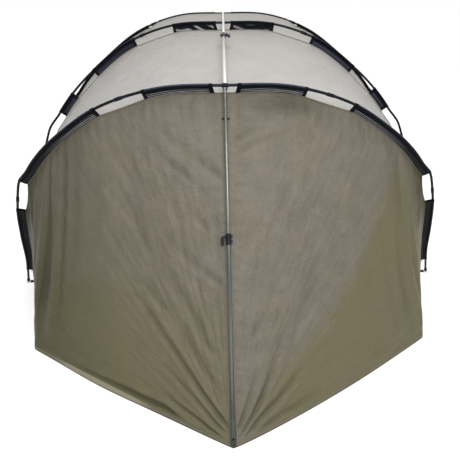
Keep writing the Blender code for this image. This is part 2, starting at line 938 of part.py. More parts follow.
def makeZip(side, place):
    """Tape with a raised chain, drawn as one profile run up the door's edge."""
    frame, length = zipFrame(side)
    half = zipWidth / 2 - clearance
    chain = zipChainWidth / 2
    low = -zipTapeThickness / 2
    high = zipTapeThickness / 2
    profile = [(-half, low), (half, low), (half, high), (chain, high), (chain, high + zipChainHeight),
               (-chain, high + zipChainHeight), (-chain, high), (-half, high)]
    turn = Matrix.Translation((0, length / 2, 0)) @ Matrix.Rotation(math.pi / 2, 4, "X")
    tape = makePlate("door_zip_" + place, [profile], length - 2 * clothThickness, frame @ turn)
    addFinish(tape, "webbing")


def makeSlider(side, place):
    """Slider body over the chain with its pull tab hanging below."""
    frame, length = zipFrame(side)
    floor = zipTapeThickness / 2 + zipChainHeight + clearance
    top = length - 2 * clothThickness
    slot = zipChainWidth / 2 + clearance
    half = sliderWidth / 2
    middle = top - sliderLength / 2
    outline = [(-half, zipTapeThickness / 2 + clearance), (-slot, zipTapeThickness / 2 + clearance),
               (-slot, floor), (slot, floor), (slot, zipTapeThickness / 2 + clearance),
               (half, zipTapeThickness / 2 + clearance), (half, floor + sliderHeight / 2),
               (slot, floor + sliderHeight), (-slot, floor + sliderHeight),
               (-half, floor + sliderHeight / 2)]
    turn = Matrix.Translation((0, middle, 0)) @ Matrix.Rotation(math.pi / 2, 4, "X")
    name = "door_slider_" + place
    origin = frame @ Matrix.Translation((0, middle, floor))
    slider = meshed(makePlate(name, [outline], sliderLength, frame @ turn), origin)
    low = middle - sliderLength / 2 - pullLength
    high = middle
    half = pullWidth / 2
    tab = roundedOutline([(-half, low), (half, low), (half, high), (-half, high)], pullWidth / 4)
    lift = Matrix.Translation((0, 0, floor + sliderHeight / 2))
    pull = makePlate(name + "_pull", [tab], pullThickness, frame @ lift)
    addBoolean(slider, meshed(pull), "UNION")
    addFinish(slider, "steel")


# Telescopic poles

def memberFrame(start, direction, across):
    """Frame whose Z runs along a pole and whose X runs across the tent."""
    along = direction.normalized()
    out = along.cross(across).normalized()
    turn = Matrix((out.cross(along), out, along)).transposed().to_4x4()
    return Matrix.Translation(start) @ turn


def crownCentre(hoop):
    return worldPoint(hoop, 0, 0)


def makeSaddle(name, frame, tubeRadius):
    """Hooked shell on the hoop, two splayed arms and a socket; Z points along the pole."""
    inner = (poleRadius + clearance) / math.cos(saddleArc / saddleArcSteps)
    outer = inner + saddleWall
    shell = []
    for step in range(saddleArcSteps + 1):
        angle = -saddleArc + 2 * saddleArc * step / saddleArcSteps
        shell.append((outer * math.sin(angle), outer * math.cos(angle)))
    for step in range(saddleArcSteps + 1):
        angle = saddleArc - 2 * saddleArc * step / saddleArcSteps
        shell.append((inner * math.sin(angle), inner * math.cos(angle)))
    # The shell's outline lies across the hoop, so its plate is turned about the pole
    turn = Matrix.Rotation(math.pi / 2, 4, "Z") @ Matrix.Rotation(math.pi / 2, 4, "X")
    saddle = meshed(makePlate(name, [shell], 2 * saddleHalfLength, frame @ turn), frame)

    socketOuter = tubeRadius + socketWall
    base = outer * math.cos(saddleArc / 2)
    neck = saddleReach
    half = saddleHalfLength - saddleArmInset
    grip = socketOuter - saddleArmInset
    arms = [(-half, base), (half, base), (half, base + saddleWall), (grip, neck + saddleArmInset),
            (-grip, neck + saddleArmInset), (-half, base + saddleWall)]
    window = [(-half + 2 * saddleArmWidth, outer + saddleWall),
              (half - 2 * saddleArmWidth, outer + saddleWall), (0, neck - saddleArmWidth)]
    flat = Matrix.Rotation(math.pi / 2, 4, "X")
    fork = makePlate(name + "_arms", [arms, window], saddleArmThickness, frame @ flat)
    addBoolean(saddle, meshed(fork), "UNION")
    socket = makeTurned(name + "_socket", [(0, neck + socketLength), (socketOuter, neck + socketLength),
                                           (socketOuter, neck - saddleWall), (0, neck - saddleWall)],
                        frame)
    addBoolean(saddle, socket, "UNION")
    bore = clearRadius(tubeRadius, turnSides)
    drill = makeTurned(name + "_bore", [(0, neck + 2 * socketLength), (bore, neck + 2 * socketLength),
                                        (bore, neck + saddleWall), (0, neck + saddleWall)], frame)
    addBoolean(saddle, drill, "DIFFERENCE")
    addFinish(saddle, "plastic_black")


def tubeBore():
    return clearRadius(innerTubeRadius, turnSides)


def outerTubeRadius():
    return tubeBore() + outerTubeWall


def tubeStart():
    """Distance from a hoop's centre to the end of the tube in its saddle's socket."""
    return saddleReach + saddleWall + fitGap


def makeCollar(name, frame):
    """Split clamp on the end of the outer tube, with ears and a pin for its lever."""
    outerBore = clearRadius(outerTubeRadius(), turnSides)
    innerBore = tubeBore()
    outside = outerBore + collarWall
    lip = innerBore + collarLipWall
    profile = [(outerBore, collarHead), (outside, collarHead), (outside, -collarTail / 2),
               (lip, -collarTail), (innerBore, -collarTail), (innerBore, -fitGap), (outerBore, -fitGap)]
    collar = makeTurned(name, profile, frame, closed=True)
    root = outerBore + collarRootDepth
    pinX, pinZ = pinPlace()
    for side in (-1, 1):
        low = leverThickness / 2 + clearance
        y1, y2 = sorted((side * low, side * (low + earThickness)))
        ear = makeBlock(name + "_ear", (-outside - earReach, y1, pinZ - earHeight / 2),
                        (-root, y2, pinZ + earHeight / 2), frame)
        addBoolean(collar, ear, "UNION")
    reach = leverThickness / 2 + clearance + earThickness / 2
    turn = Matrix.Translation((pinX, 0, pinZ)) @ Matrix.Rotation(math.pi / 2, 4, "X")
    pin = makeTurned(name + "_pin", [(0, reach), (pinRadius, reach), (pinRadius, -reach), (0, -reach)],
                     frame @ turn)
    addBoolean(collar, pin, "UNION")
    for height in (-collarTail * lowLugShare, collarHead * highLugShare):
        lug = makeBlock(name + "_lug", (root, -lugThickness / 2, height - lugHeight / 2),
                        (outside + lugLength, lugThickness / 2, height + lugHeight / 2), frame)
        addBoolean(collar, lug, "UNION")
    addFinish(collar, "plastic_black")
    return collar


def pinPlace():
    outside = clearRadius(outerTubeRadius(), turnSides) + collarWall
    return -outside - leverEyeRadius - fitGap, (earHeight - collarTail) / 2


def makeLever(name, frame, hingeName):
    """Bowed cam lever: an eye on the pin, an arch to the side and a tail along the pole."""
    pinX, pinZ = pinPlace()
    inner = leverArcRadius - leverBand / 2
    outer = leverArcRadius + leverBand / 2
    steps = outlineSteps + 1
    arch = []
    for step in range(steps + 1):
        angle = math.pi / 2 + math.pi / 2 * step / steps
        arch.append((outer * math.cos(angle), outer * math.sin(angle)))
    arch += [(-outer, -leverTail + leverBand), (-outer + leverBand, -leverTail),
             (-inner + leverBand / 2, -leverTail), (-inner, -leverTail + leverBand)]
    for step in range(steps + 1):
        angle = math.pi - math.pi / 2 * step / steps
        arch.append((inner * math.cos(angle), inner * math.sin(angle)))
    place = Matrix.Translation((pinX, 0, pinZ + leverArcRadius)) @ Matrix.Rotation(-math.pi / 2, 4, "X")
    pivot = frame @ Matrix.Translation((pinX, 0, pinZ))
    lever = meshed(makePlate(name, [arch], leverThickness, frame @ place), pivot)
    hinge = makeEmpty(hingeName, pivot)
    eyeTurn = Matrix.Rotation(math.pi / 2, 4, "X")
    half = leverThickness / 2
    eye = makeTurned(name + "_eye", [(0, half), (leverEyeRadius, half), (leverEyeRadius, -half),
                                     (0, -half)], pivot @ eyeTurn)
    addBoolean(lever, eye, "UNION")
    hole = clearRadius(pinRadius, turnSides)
    drill = makeTurned(name + "_hole", [(0, 2 * half), (hole, 2 * half), (hole, -2 * half),
                                        (0, -2 * half)], pivot @ eyeTurn)
    addBoolean(lever, drill, "DIFFERENCE")
    hangOn(lever, hinge)
    addFinish(lever, "plastic_black")


def propCapRadius():
    return clearRadius(outerTubeRadius(), turnSides) + propCapWall


def tongueHeight():
    """Middle of the tip patch's tongue, just over the hem."""
    return hemHeight + fitGap + patchThickness / 2


def propFootPlace():
    """Centre of the ball end of the rear prop, which stands on the tongue of the tip patch."""
    height = tongueHeight() + patchThickness / 2 + fitGap + propCapRadius()
    return Vector((0, rearHoopFootY - rearTipSetback - propFootOffset, height))


def makeRearProp():
    """Telescopic pole from the rear hoop's crown down to the rear tip."""
    top = crownCentre(rearHoop)
    capBore = clearRadius(outerTubeRadius(), turnSides)
    capRadius = propCapRadius()
    foot = propFootPlace()
    length = (foot - top).length
    frame = memberFrame(top, foot - top, Vector((1, 0, 0)))
    makeSaddle("prop_saddle", frame, innerTubeRadius)
    innerEnd = propLockAt + propOverlap
    inner = makeTurned("prop_upper_tube", [(0, innerEnd), (innerTubeRadius, innerEnd),
                                           (innerTubeRadius, tubeStart()), (0, tubeStart())], frame)
    addFinish(inner, "alloy_silver")
    capFloor = length - propCapFloor
    outer = makeRing("prop_lower_tube", tubeBore(), outerTubeRadius(), propLockAt, capFloor - fitGap, frame)
    addFinish(outer, "alloy_grey")
    profile = []
    for step in range(capSteps):
        angle = math.pi / 2 * step / capSteps
        profile.append((capRadius * math.sin(angle), length + capRadius * math.cos(angle)))
    profile += [(capRadius, length), (capRadius, length - propCapLength), (capBore, length - propCapLength),
                (capBore, capFloor), (0, capFloor)]
    cap = makeTurned("prop_foot_cap", profile, frame)
    addFinish(cap, "plastic_black")
    lock = frame @ Matrix.Translation((0, 0, propLockAt))
    makeCollar("prop_lock_collar", lock)
    makeLever("prop_lock_lever", lock, "prop_lever_pivot")


def makeRidge():
    """Rear tube with a lock and a bent front tube that telescopes into it over the middle hoop."""
    rear = crownCentre(rearHoop)
    front = crownCentre(frontHoop)
    middle = crownCentre(middleHoop)
    over = middle + Vector((0, 0, poleRadius + innerTubeRadius + 2 * fitGap))
    across = Vector((-1, 0, 0))
    rearFrame = memberFrame(rear, over - rear, across)
    frontFrame = memberFrame(front, over - front, across)
    makeSaddle("ridge_rear_saddle", rearFrame, outerTubeRadius())
    makeSaddle("ridge_front_saddle", frontFrame, innerTubeRadius)
    outer = makeRing("ridge_rear_tube", tubeBore(), outerTubeRadius(), tubeStart(), ridgeLockAt, rearFrame)
    addFinish(outer, "alloy_silver")
    makeBentTube(rear, over, front)
    lock = rearFrame @ Matrix.Translation((0, 0, ridgeLockAt)) @ Matrix.Rotation(math.pi, 4, "X")
    makeCollar("ridge_lock_collar", lock)
    makeLever("ridge_lock_lever", lock, "ridge_lever_pivot")


def makeBentTube(rear, over, front):
    """Inner ridge tube with a short bend where it crosses the middle hoop."""
    back = (rear - over).normalized()
    ahead = (front - over).normalized()
    half = back.angle(ahead) / 2
    reach = ridgeBendRadius / math.tan(half)
    middle = over + (back + ahead).normalized() * (ridgeBendRadius / math.sin(half))
    start = over + back * reach - middle
    end = over + ahead * reach - middle
    turn = start.angle(end)
    axis = start.cross(end).normalized()
    points = [rear - back * (ridgeLockAt - ridgeOverlap)]
    for step in range(outlineSteps + 1):
        points.append(middle + Matrix.Rotation(turn * step / outlineSteps, 3, axis) @ start)
    points.append(front - ahead * tubeStart())
    tube = makeRod("ridge_front_tube", [points], innerTubeRadius, sides=turnSides, flat=False)
    addFinish(tube, "alloy_silver")


def makeRearTrim():
    """Tie strap and tip patch on the outside of the rear seam."""
    left = rearWallGrid(-1)[0]
    right = rearWallGrid(1)[0]
    top = (left[0] + right[0]) / 2
    bottom = (left[-1] + right[-1]) / 2
    seam = (bottom - top).normalized()
    outward = Vector((0, seam.z, -seam.y))
    if outward.y > 0:
        outward = -outward
    lift = clothThickness / 2 + clearance + tieThickness / 2
    centre = top.lerp(bottom, tieShare) + outward * lift
    grid = []
    for step in range(curveSteps + 1):
        across = -1 + 2 * step / curveSteps
        middle = centre + Vector((across * tieLength / 2, 0, 0)) + outward * tieLift * across ** 2
        grid.append([middle - seam * tieWidth / 2, middle + seam * tieWidth / 2])
    addFinish(makeSheet("rear_tie_strap", grid, tieThickness), "webbing")
    makeTipPatch()


def makeTipPatch():
    """Patch on the foot of the rear seam, with a tongue folded out under the prop's foot."""
    walls = {side: rearWallGrid(side) for side in (-1, 1)}
    seamLength = (walls[1][0][0] - walls[1][0][-1]).length
    bottom = clothThickness / seamLength
    top = patchHeight / seamLength
    rows = [row / wallRows for row in range(1, wallRows)]
    shares = [bottom] + [share for share in rows if bottom < share < top] + [top]
    grid = []
    for share in shares:
        height = (share - bottom) / (top - bottom)
        half = patchHalfBottom + (patchHalfTop - patchHalfBottom) * height
        line = [patchPoint(walls[-1], share, half), patchPoint(walls[1], share, 0),
                patchPoint(walls[1], share, half)]
        line[1].x = 0
        grid.append(line)
    root = [Vector((point.x, point.y - tongueStep, tongueHeight())) for point in grid[0]]
    end = propFootPlace().y - propCapRadius() * tongueReachShare
    tongue = [Vector((point.x, end, tongueHeight())) for point in root]
    addFinish(makeSheet("rear_tip_patch", [tongue, root] + grid, patchThickness), "webbing")


def patchPoint(wall, share, across):
    """A place off the wall's outer face, at a share up the seam and a distance across from it."""
    place = (1 - share) * wallRows
    row = min(int(place), wallRows - 1)
    foot = wall[0][row].lerp(wall[0][row + 1], place - row)
    beside = wall[1][row].lerp(wall[1][row + 1], place - row)
    along = (beside - foot).normalized()
    seam = wall[0][row] - wall[0][row + 1]
    normal = along.cross(seam).normalized()
    if normal.y > 0:
        normal = -normal
    lift = clothThickness / 2 + patchGap + patchThickness / 2
    if across:
        return foot + along * across + normal * lift
    straight = Vector((0, normal.y, normal.z)).normalized()
    return foot + straight * lift / straight.dot(normal)


clearScene()
partCollection = makeCollection(partName)
cutterCollection = makeCollection("cutters")
rearHoop = Hoop("rear", rearHoopFootY, rearHoopLean, sleeveDepth, rearSleeveShares)
middleHoop = Hoop("middle", rearHoopFootY + middleHoopSetback, middleHoopLean, sleeveDepth,
                  middleSleeveShares)
frontHoop = Hoop("front", rearHoopFootY + frontHoopSetback, frontHoopLean, frontSleeveDepth,
                 frontSleeveShares)
hoops = (rearHoop, middleHoop, frontHoop)
hoopPath, hoopLengths = buildHoopPath()
hoopOffsets = buildHoopOffsets()

for hoop in hoops:
    makeHoopPoles(hoop)
    makeSleeves(hoop)
for side, place in ((-1, "left"), (1, "right")):
    makeRearWall(side, place)
    makeBay("rear_bay_" + place, rearHoop, middleHoop, side)
    makeBay("front_bay_" + place, middleHoop, frontHoop, side)
    makeFrontWall(side, place)
    makeZip(side, place)
    makeSlider(side, place)
makeHeader()
makeDoor()
makeHems()
makeGroundsheet()
makeRearProp()
makeRidge()
makeRearTrim()
print("objects", len([item for item in partCollection.objects if item.type != "EMPTY"]))
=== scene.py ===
import math

import bmesh
import bpy
import numpy as np
from mathutils import Matrix, Vector, noise


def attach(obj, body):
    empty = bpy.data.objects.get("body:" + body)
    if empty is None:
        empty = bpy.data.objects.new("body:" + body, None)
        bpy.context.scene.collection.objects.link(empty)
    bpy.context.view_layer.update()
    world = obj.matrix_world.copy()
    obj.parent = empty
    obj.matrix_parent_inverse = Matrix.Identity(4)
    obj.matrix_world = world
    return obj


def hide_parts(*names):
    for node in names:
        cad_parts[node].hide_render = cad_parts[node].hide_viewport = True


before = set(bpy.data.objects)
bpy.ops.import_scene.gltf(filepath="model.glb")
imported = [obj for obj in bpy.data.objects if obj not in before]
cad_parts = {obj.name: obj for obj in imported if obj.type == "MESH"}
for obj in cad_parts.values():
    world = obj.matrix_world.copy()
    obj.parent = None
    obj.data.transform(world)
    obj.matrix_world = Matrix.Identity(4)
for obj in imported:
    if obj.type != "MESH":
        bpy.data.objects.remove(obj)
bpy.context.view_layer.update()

scene = bpy.context.scene
scene.view_settings.view_transform = "Standard"
bothSides = ((-1, "left"), (1, "right"))


# Colours and nodes

def hexColor(code):
    # sRGB hex to the linear values the shader wants
    values = [int(code[i:i + 2], 16) / 255 for i in (1, 3, 5)]
    return tuple(v / 12.92 if v <= 0.04045 else ((v + 0.055) / 1.055) ** 2.4 for v in values) + (1,)


def addNode(tree, kind, settings=None, links=None):
    # settings: attribute or input name to value, links: input name or number to an output socket
    node = tree.nodes.new(kind)
    for key, value in (settings or {}).items():
        if isinstance(key, str) and hasattr(node, key):
            setattr(node, key, value)
        else:
            node.inputs[key].default_value = value
    for key, socket in (links or {}).items():
        tree.links.new(socket, node.inputs[key])
    return node


def newMaterial(name, **shaderValues):
    material = bpy.data.materials.new(name)
    material.use_nodes = True
    tree = material.node_tree
    shader = tree.nodes["Principled BSDF"]
    for key, value in shaderValues.items():
        shader.inputs[key.replace("_", " ")].default_value = value
    return material, tree, shader


def mixColors(tree, factor, first, second, blend="MIX"):
    # first and second: a hex colour or an output socket
    node = addNode(tree, "ShaderNodeMix", {"data_type": "RGBA", "blend_type": blend})
    for number, value in ((0, factor), (6, first), (7, second)):
        if isinstance(value, str):
            node.inputs[number].default_value = hexColor(value)
        elif isinstance(value, (int, float)):
            node.inputs[number].default_value = value
        else:
            tree.links.new(value, node.inputs[number])
    return node.outputs[2]


def cellsPerMetre(sizeMm):
    # a noise texture's scale is the number of its cells in a metre
    return round(1000 / sizeMm)


# what all cloths share; the bumps' depths are in metres
weaveLook = {"ior": 1.5, "sheenRoughness": 0.4, "crumpleDepth": 0.01, "grainDepth": 0.001,
             "weaveDepth": 0.0004, "grainFiner": 4.5}


def makeCloth(name, look):
    # woven cloth: thread waves, grain and crumple for the bump, slow mottling for the colour
    material, tree, shader = newMaterial(name, Roughness=look["roughness"], IOR=weaveLook["ior"],
                                         Specular_IOR_Level=look["specular"], Sheen_Weight=look["sheen"],
                                         Sheen_Roughness=weaveLook["sheenRoughness"],
                                         Sheen_Tint=hexColor(look["sheenHex"]))
    coordinates = addNode(tree, "ShaderNodeTexCoord")
    uv = coordinates.outputs["UV"]
    place = coordinates.outputs["Object"]
    # a wave turns 20 radians per metre and unit of scale
    waveScale = math.tau * 1000 / (20 * look["threadMm"])
    waves = []
    for direction in ("X", "Y"):
        wave = addNode(tree, "ShaderNodeTexWave", {"bands_direction": direction, "Scale": waveScale,
                                                   "Distortion": 0.6, "Detail": 1}, {"Vector": uv})
        waves.append(wave.outputs["Fac"])
    weave = addNode(tree, "ShaderNodeMath", {"operation": "ADD"}, {0: waves[0], 1: waves[1]})
    crumpleScale = cellsPerMetre(look["crumpleMm"])
    crumple = addNode(tree, "ShaderNodeTexNoise",
                      {"Scale": crumpleScale, "Detail": 5, "Roughness": 0.62, "Distortion": 0.7},
                      {"Vector": place})
    coarse = addNode(tree, "ShaderNodeBump",
                     {"Strength": look["crumple"], "Distance": weaveLook["crumpleDepth"]},
                     {"Height": crumple.outputs["Fac"]})
    grain = addNode(tree, "ShaderNodeTexNoise",
                    {"Scale": crumpleScale * weaveLook["grainFiner"], "Detail": 4, "Roughness": 0.6},
                    {"Vector": place})
    grainDepth = look.get("grainDepth", weaveLook["grainDepth"])
    small = addNode(tree, "ShaderNodeBump", {"Strength": look["crumple"], "Distance": grainDepth},
                    {"Height": grain.outputs["Fac"], "Normal": coarse.outputs[0]})
    fine = addNode(tree, "ShaderNodeBump", {"Strength": look["weave"], "Distance": weaveLook["weaveDepth"]},
                   {"Height": weave.outputs[0], "Normal": small.outputs[0]})
    mottle = addNode(tree, "ShaderNodeTexNoise",
                     {"Scale": cellsPerMetre(look["mottleMm"]), "Detail": 6, "Roughness": 0.7},
                     {"Vector": place})
    spread = addNode(tree, "ShaderNodeMapRange", {"From Min": 0.3, "From Max": 0.7},
                     {"Value": mottle.outputs["Fac"]})
    tone = mixColors(tree, spread.outputs[0], look["darkHex"], look["lightHex"])
    # the tint attribute mixes in the fly's olive tone and also painted light: painted highlights on the
    # sleeves' pleats and the hem, painted shade on the roof
    if "tintHex" in look:
        tint = addNode(tree, "ShaderNodeAttribute", {"attribute_name": "tint"})
        tone = mixColors(tree, tint.outputs["Fac"], tone, look["tintHex"])
    # the shade attribute mixes in painted light: painted shade on the fly and hem, a painted highlight over
    # the sleeves' poles
    if "paintedShadeAndHighlightHex" in look:
        shade = addNode(tree, "ShaderNodeAttribute", {"attribute_name": "shade"})
        tone = mixColors(tree, shade.outputs["Fac"], tone, look["paintedShadeAndHighlightHex"])
    tree.links.new(tone, shader.inputs["Base Color"])
    tree.links.new(fine.outputs[0], shader.inputs["Normal"])
    return material


# Mesh helpers

def within(values):
    # held between nothing and all
    return np.clip(values, 0, 1)


def closedRound(points):
    return np.concatenate((points, points[:, :1]), axis=1)


def hump(values, centre, width):
    return np.exp(-((values - centre) / width) ** 2)


def unitRows(vectors):
    return vectors / np.linalg.norm(vectors, axis=-1, keepdims=True)


def reachAlong(points):
    # length walked from the first point to each
    return np.concatenate(([0], np.cumsum(np.linalg.norm(np.diff(points, axis=0), axis=1))))


def pointsAt(at, reach, points):
    return np.stack([np.interp(at, reach, points[:, k]) for k in range(points.shape[1])], -1)


def noiseAt(points, size, seed):
    # smooth random value from -1 to 1 for every point, size in metres
    flat = points.reshape(-1, 3) / size + seed * 7.31
    return np.array([noise.noise(Vector(p)) for p in flat]).reshape(points.shape[:-1])


def gridMesh(name, points, wrap=False, tint=None, shade=None):
    # points[row][column]; UV in metres, so that the weave has one size on every cloth
    rows, columns = points.shape[:2]
    mesh = bpy.data.meshes.new(name)
    last = columns if wrap else columns - 1
    faces = []
    for row in range(rows - 1):
        for column in range(last):
            nextColumn = (column + 1) % columns
            faces.append((row * columns + column, row * columns + nextColumn,
                          (row + 1) * columns + nextColumn, (row + 1) * columns + column))
    mesh.from_pydata(points.reshape(-1, 3).tolist(), [], faces)
    across = np.linalg.norm(np.diff(points, axis=1), axis=2).mean(axis=0)
    along = np.linalg.norm(np.diff(points, axis=0), axis=2).mean(axis=1)
    u = np.concatenate(([0], np.cumsum(across), [np.sum(across) + across[-1]]))
    v = np.concatenate(([0], np.cumsum(along)))
    layer = mesh.uv_layers.new(name="cloth")
    values = []
    for row in range(rows - 1):
        for column in range(last):
            values += [u[column], v[row], u[column + 1], v[row]]
            values += [u[column + 1], v[row + 1], u[column], v[row + 1]]
    layer.data.foreach_set("uv", values)
    for word, field in (("tint", tint), ("shade", shade)):
        if field is not None:
            attribute = mesh.attributes.new(word, "FLOAT", "POINT")
            attribute.data.foreach_set("value", within(field).reshape(-1).astype(float))
    mesh.shade_smooth()
    return mesh


def addPiece(name, mesh, material, body, nodes=(), thickness=0):
    piece = bpy.data.objects.new(name, mesh)
    scene.collection.objects.link(piece)
    piece.data.materials.append(material)
    if thickness:
        solid = piece.modifiers.new("thickness", "SOLIDIFY")
        solid.thickness = thickness
        solid.offset = 0
    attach(piece, body)
    if nodes:
        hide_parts(*nodes)
    return piece


smallestCut = 0.0105  # a strip's worked out size is never narrower than this


def declareCloth(points, flat=None):
    # the cut's sides are the longest row and column of the points, and its area is theirs
    if flat is None:
        width = float(np.linalg.norm(np.diff(points, axis=1), axis=2).sum(axis=1).max())
        length = float(np.linalg.norm(np.diff(points, axis=0), axis=2).sum(axis=0).max())
        flat = (max(width, smallestCut), max(length, smallestCut))


def gridNormals(points):
    down = np.gradient(points, axis=0)
    over = np.gradient(points, axis=1)
    normals = np.cross(over, down)
    return normals / np.maximum(np.linalg.norm(normals, axis=2, keepdims=True), 1e-12)


def saveShape(shape, mesh):
    bmesh.ops.recalc_face_normals(shape, faces=shape.faces)
    shape.to_mesh(mesh)
    shape.free()
    mesh.shade_smooth()


def closeEnds(mesh, rings, sides):
    shape = bmesh.new()
    shape.from_mesh(mesh)
    shape.verts.ensure_lookup_table()
    for ring in rings:
        shape.faces.new([shape.verts[ring * sides + i] for i in range(sides)])
    saveShape(shape, mesh)


def ringPoints(places, sideways, outward, radii, sides):
    # a ring of points round each place, with one radius for each
    angles = np.linspace(0, math.tau, sides, endpoint=False)[None, :, None]
    ring = np.cos(angles) * outward[:, None, :] + np.sin(angles) * sideways[:, None, :]
    return places[:, None, :] + ring * np.asarray(radii)[:, None, None]


def tubeMesh(name, places, sideways, outward, radii, sides=20):
    # round tube with its ends closed
    mesh = gridMesh(name, ringPoints(places, sideways, outward, radii, sides), wrap=True)
    closeEnds(mesh, (0, len(places) - 1), sides)
    return mesh


def planeTube(name, path, sideways, radii, sides=24, closed=False):
    # round tube on a path in one plane, whose normal is sideways
    path = np.asarray(path, float)
    sideways = np.asarray(sideways, float)
    if closed:
        along = np.roll(path, -1, axis=0) - np.roll(path, 1, axis=0)
    else:
        along = np.gradient(path, axis=0)
    outward = np.cross(unitRows(along), sideways)
    over = np.broadcast_to(sideways, path.shape)
    radii = np.full(len(path), radii) if np.ndim(radii) == 0 else np.asarray(radii)
    if not closed:
        return tubeMesh(name, path, over, outward, radii, sides)
    points = ringPoints(path, over, outward, radii, sides)
    mesh = gridMesh(name, np.concatenate((points, points[:1]), axis=0), wrap=True)
    shape = bmesh.new()
    shape.from_mesh(mesh)
    bmesh.ops.remove_doubles(shape, verts=shape.verts, dist=0.00001)
    saveShape(shape, mesh)
    return mesh


def roundEdges(piece, width, segments, sharp):
    # sharp edges get a bevel of this width
    bevel = piece.modifiers.new("rounded edges", "BEVEL")
    bevel.width = width
    bevel.segments = segments
    bevel.limit_method = "ANGLE"
    bevel.angle_limit = math.radians(sharp)
    bevel.harden_normals = True


# The hoops' shape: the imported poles' values, and what the elbow is pulled in by

hoopShape = {
    "halfWidth": 1.5, "height": 1.79,
    "outline": ((0, 1), (0.236, 0.992), (0.458, 0.9255), (0.6435, 0.8065), (0.804, 0.673),
                (0.886, 0.4957), (0.928, 0.3221), (0.9567, 0.159), (1, 0)),
    "poleRadius": 0.008, "crownJoint": 0.218, "legJoint": 0.642,
    "elbowPull": 0.026, "elbowShares": (0.395, 0.53, 0.588),
}
hoops = {
    "rear": {"footY": 0.0686, "lean": 19.8, "depth": 0.05, "gapSag": 0.013,
             "sleeves": ((0.025, 0.168), (0.278, 0.574), (0.677, 0.935))},
    "middle": {"footY": 0.2016, "lean": -16.8, "depth": 0.05, "gapSag": 0.008,
               "sleeves": ((0.0195, 0.135), (0.242, 0.382), (0.463, 0.527), (0.69, 0.906))},
    "front": {"footY": 0.7146, "lean": -26.1, "depth": 0.0155, "gapSag": 0.0,
              "sleeves": ((0.025, 0.2), (0.236, 0.62), (0.664, 0.906))},
}
hem = {"height": 0.03, "cornerX": 1.262, "cornerY": -0.6654, "tipY": -1.4839}


def hoopCurve():
    size = (hoopShape["halfWidth"], hoopShape["height"])
    control = [np.array((x * size[0], y * size[1])) for x, y in hoopShape["outline"]]
    ends = [control[1] * (-1, 1)] + control + [2 * control[-1] - control[-2]]
    points = []
    for i in range(1, len(ends) - 2):
        a, b, c, d = ends[i - 1:i + 3]
        for t in np.linspace(0, 1, 40, endpoint=False):
            points.append(0.5 * (2 * b + (c - a) * t + (2 * a - 5 * b + 4 * c - d) * t ** 2
                                 + (3 * b - a - 3 * c + d) * t ** 3))
    points.append(control[-1])
    half = np.array(points)
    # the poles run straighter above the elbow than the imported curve, and so turn more sharply in it
    reach = reachAlong(half)
    share = reach / reach[-1]
    low, peak, high = hoopShape["elbowShares"]
    rise = within(np.where(share < peak, (share - low) / (peak - low), (high - share) / (high - peak)))
    along = unitRows(np.gradient(half, axis=0))
    outward = np.stack((-along[:, 1], along[:, 0]), -1)
    half = half - outward * (hoopShape["elbowPull"] * rise ** 2 * (3 - 2 * rise))[:, None]
    return np.vstack((half[:0:-1] * (-1, 1), half))


hoopPath = hoopCurve()
hoopReach = reachAlong(hoopPath)
hoopReach -= hoopReach[-1] / 2
hoopLength = hoopReach[-1]


def flatStations(lengths, inset=0.0):
    # places in a hoop's own plane, and the outward direction there
    step = 0.004

    lengths = np.asarray(lengths, float)
    ahead = pointsAt(np.minimum(lengths + step, hoopLength), hoopReach, hoopPath)
    along = unitRows(ahead - pointsAt(np.maximum(lengths - step, -hoopLength), hoopReach, hoopPath))
    normal = np.stack((-along[..., 1], along[..., 0]), -1)
    inset = np.asarray(inset)[..., None] if np.ndim(inset) else inset
    return pointsAt(lengths, hoopReach, hoopPath) - normal * inset, normal


def hoopStations(name, lengths, inset=0.0):
    # places on a hoop at signed lengths from its crown, with its outward and sideways directions
    here, normal = flatStations(lengths, inset)
    lean = math.radians(hoops[name]["lean"])

    def tilt(flatPoints, footY):
        return np.stack((flatPoints[..., 0], footY - flatPoints[..., 1] * math.sin(lean),
                         flatPoints[..., 1] * math.cos(lean)), -1)

    places = tilt(here, hoops[name]["footY"])
    outward = tilt(normal, 0)
    sideways = np.broadcast_to(np.array((0, -math.cos(lean), -math.sin(lean))), places.shape)
    return places, outward, sideways


def seamInset(name, lengths):
    # the seam hangs a little further from the pole between two sleeves
    lengths = np.abs(np.asarray(lengths, float))
    inset = np.full(lengths.shape, hoops[name]["depth"])
    sleeves = hoops[name]["sleeves"]
    for before, after in zip(sleeves, sleeves[1:]):
        share = (lengths / hoopLength - before[1]) / (after[0] - before[1])
        inset += hoops[name]["gapSag"] * np.sin(np.pi * within(share)) ** 0.6
    return inset


def lengthAtHeight(name, inset, height):
    # how far from the crown the inset line comes down to a height
    low, high = hoopLength * 0.6, hoopLength
    for _ in range(40):
        middle = (low + high) / 2
        if hoopStations(name, [middle], inset)[0][0][2] > height:
            low = middle
        else:
            high = middle
    return low


def stationsBetween(start, end, step):
    count = max(2, int(abs(end - start) / step) + 1)
    return np.linspace(start, end, count)


# Materials; every weave is drawn several times coarser than the real one, so that it shows

# Coated polyester, plain woven and calendered: dull grey khaki, more olive low down, with a soft pale sheen;
# its dark olive is painted shade, for the creases and where the cloth turns from the light
flyLook = {"roughness": 0.5, "specular": 0.3, "sheen": 0.05, "sheenHex": "#e8e4da", "threadMm": 3.0,
           "weave": 0.2, "crumple": 0.9, "crumpleMm": 62.5, "grainDepth": 0.0065, "mottleMm": 111,
           "darkHex": "#716b5f", "lightHex": "#827b6e", "tintHex": "#716b4c", "paintedShadeAndHighlightHex": "#403d28"}
flyCloth = makeCloth("coated polyester fly", flyLook)
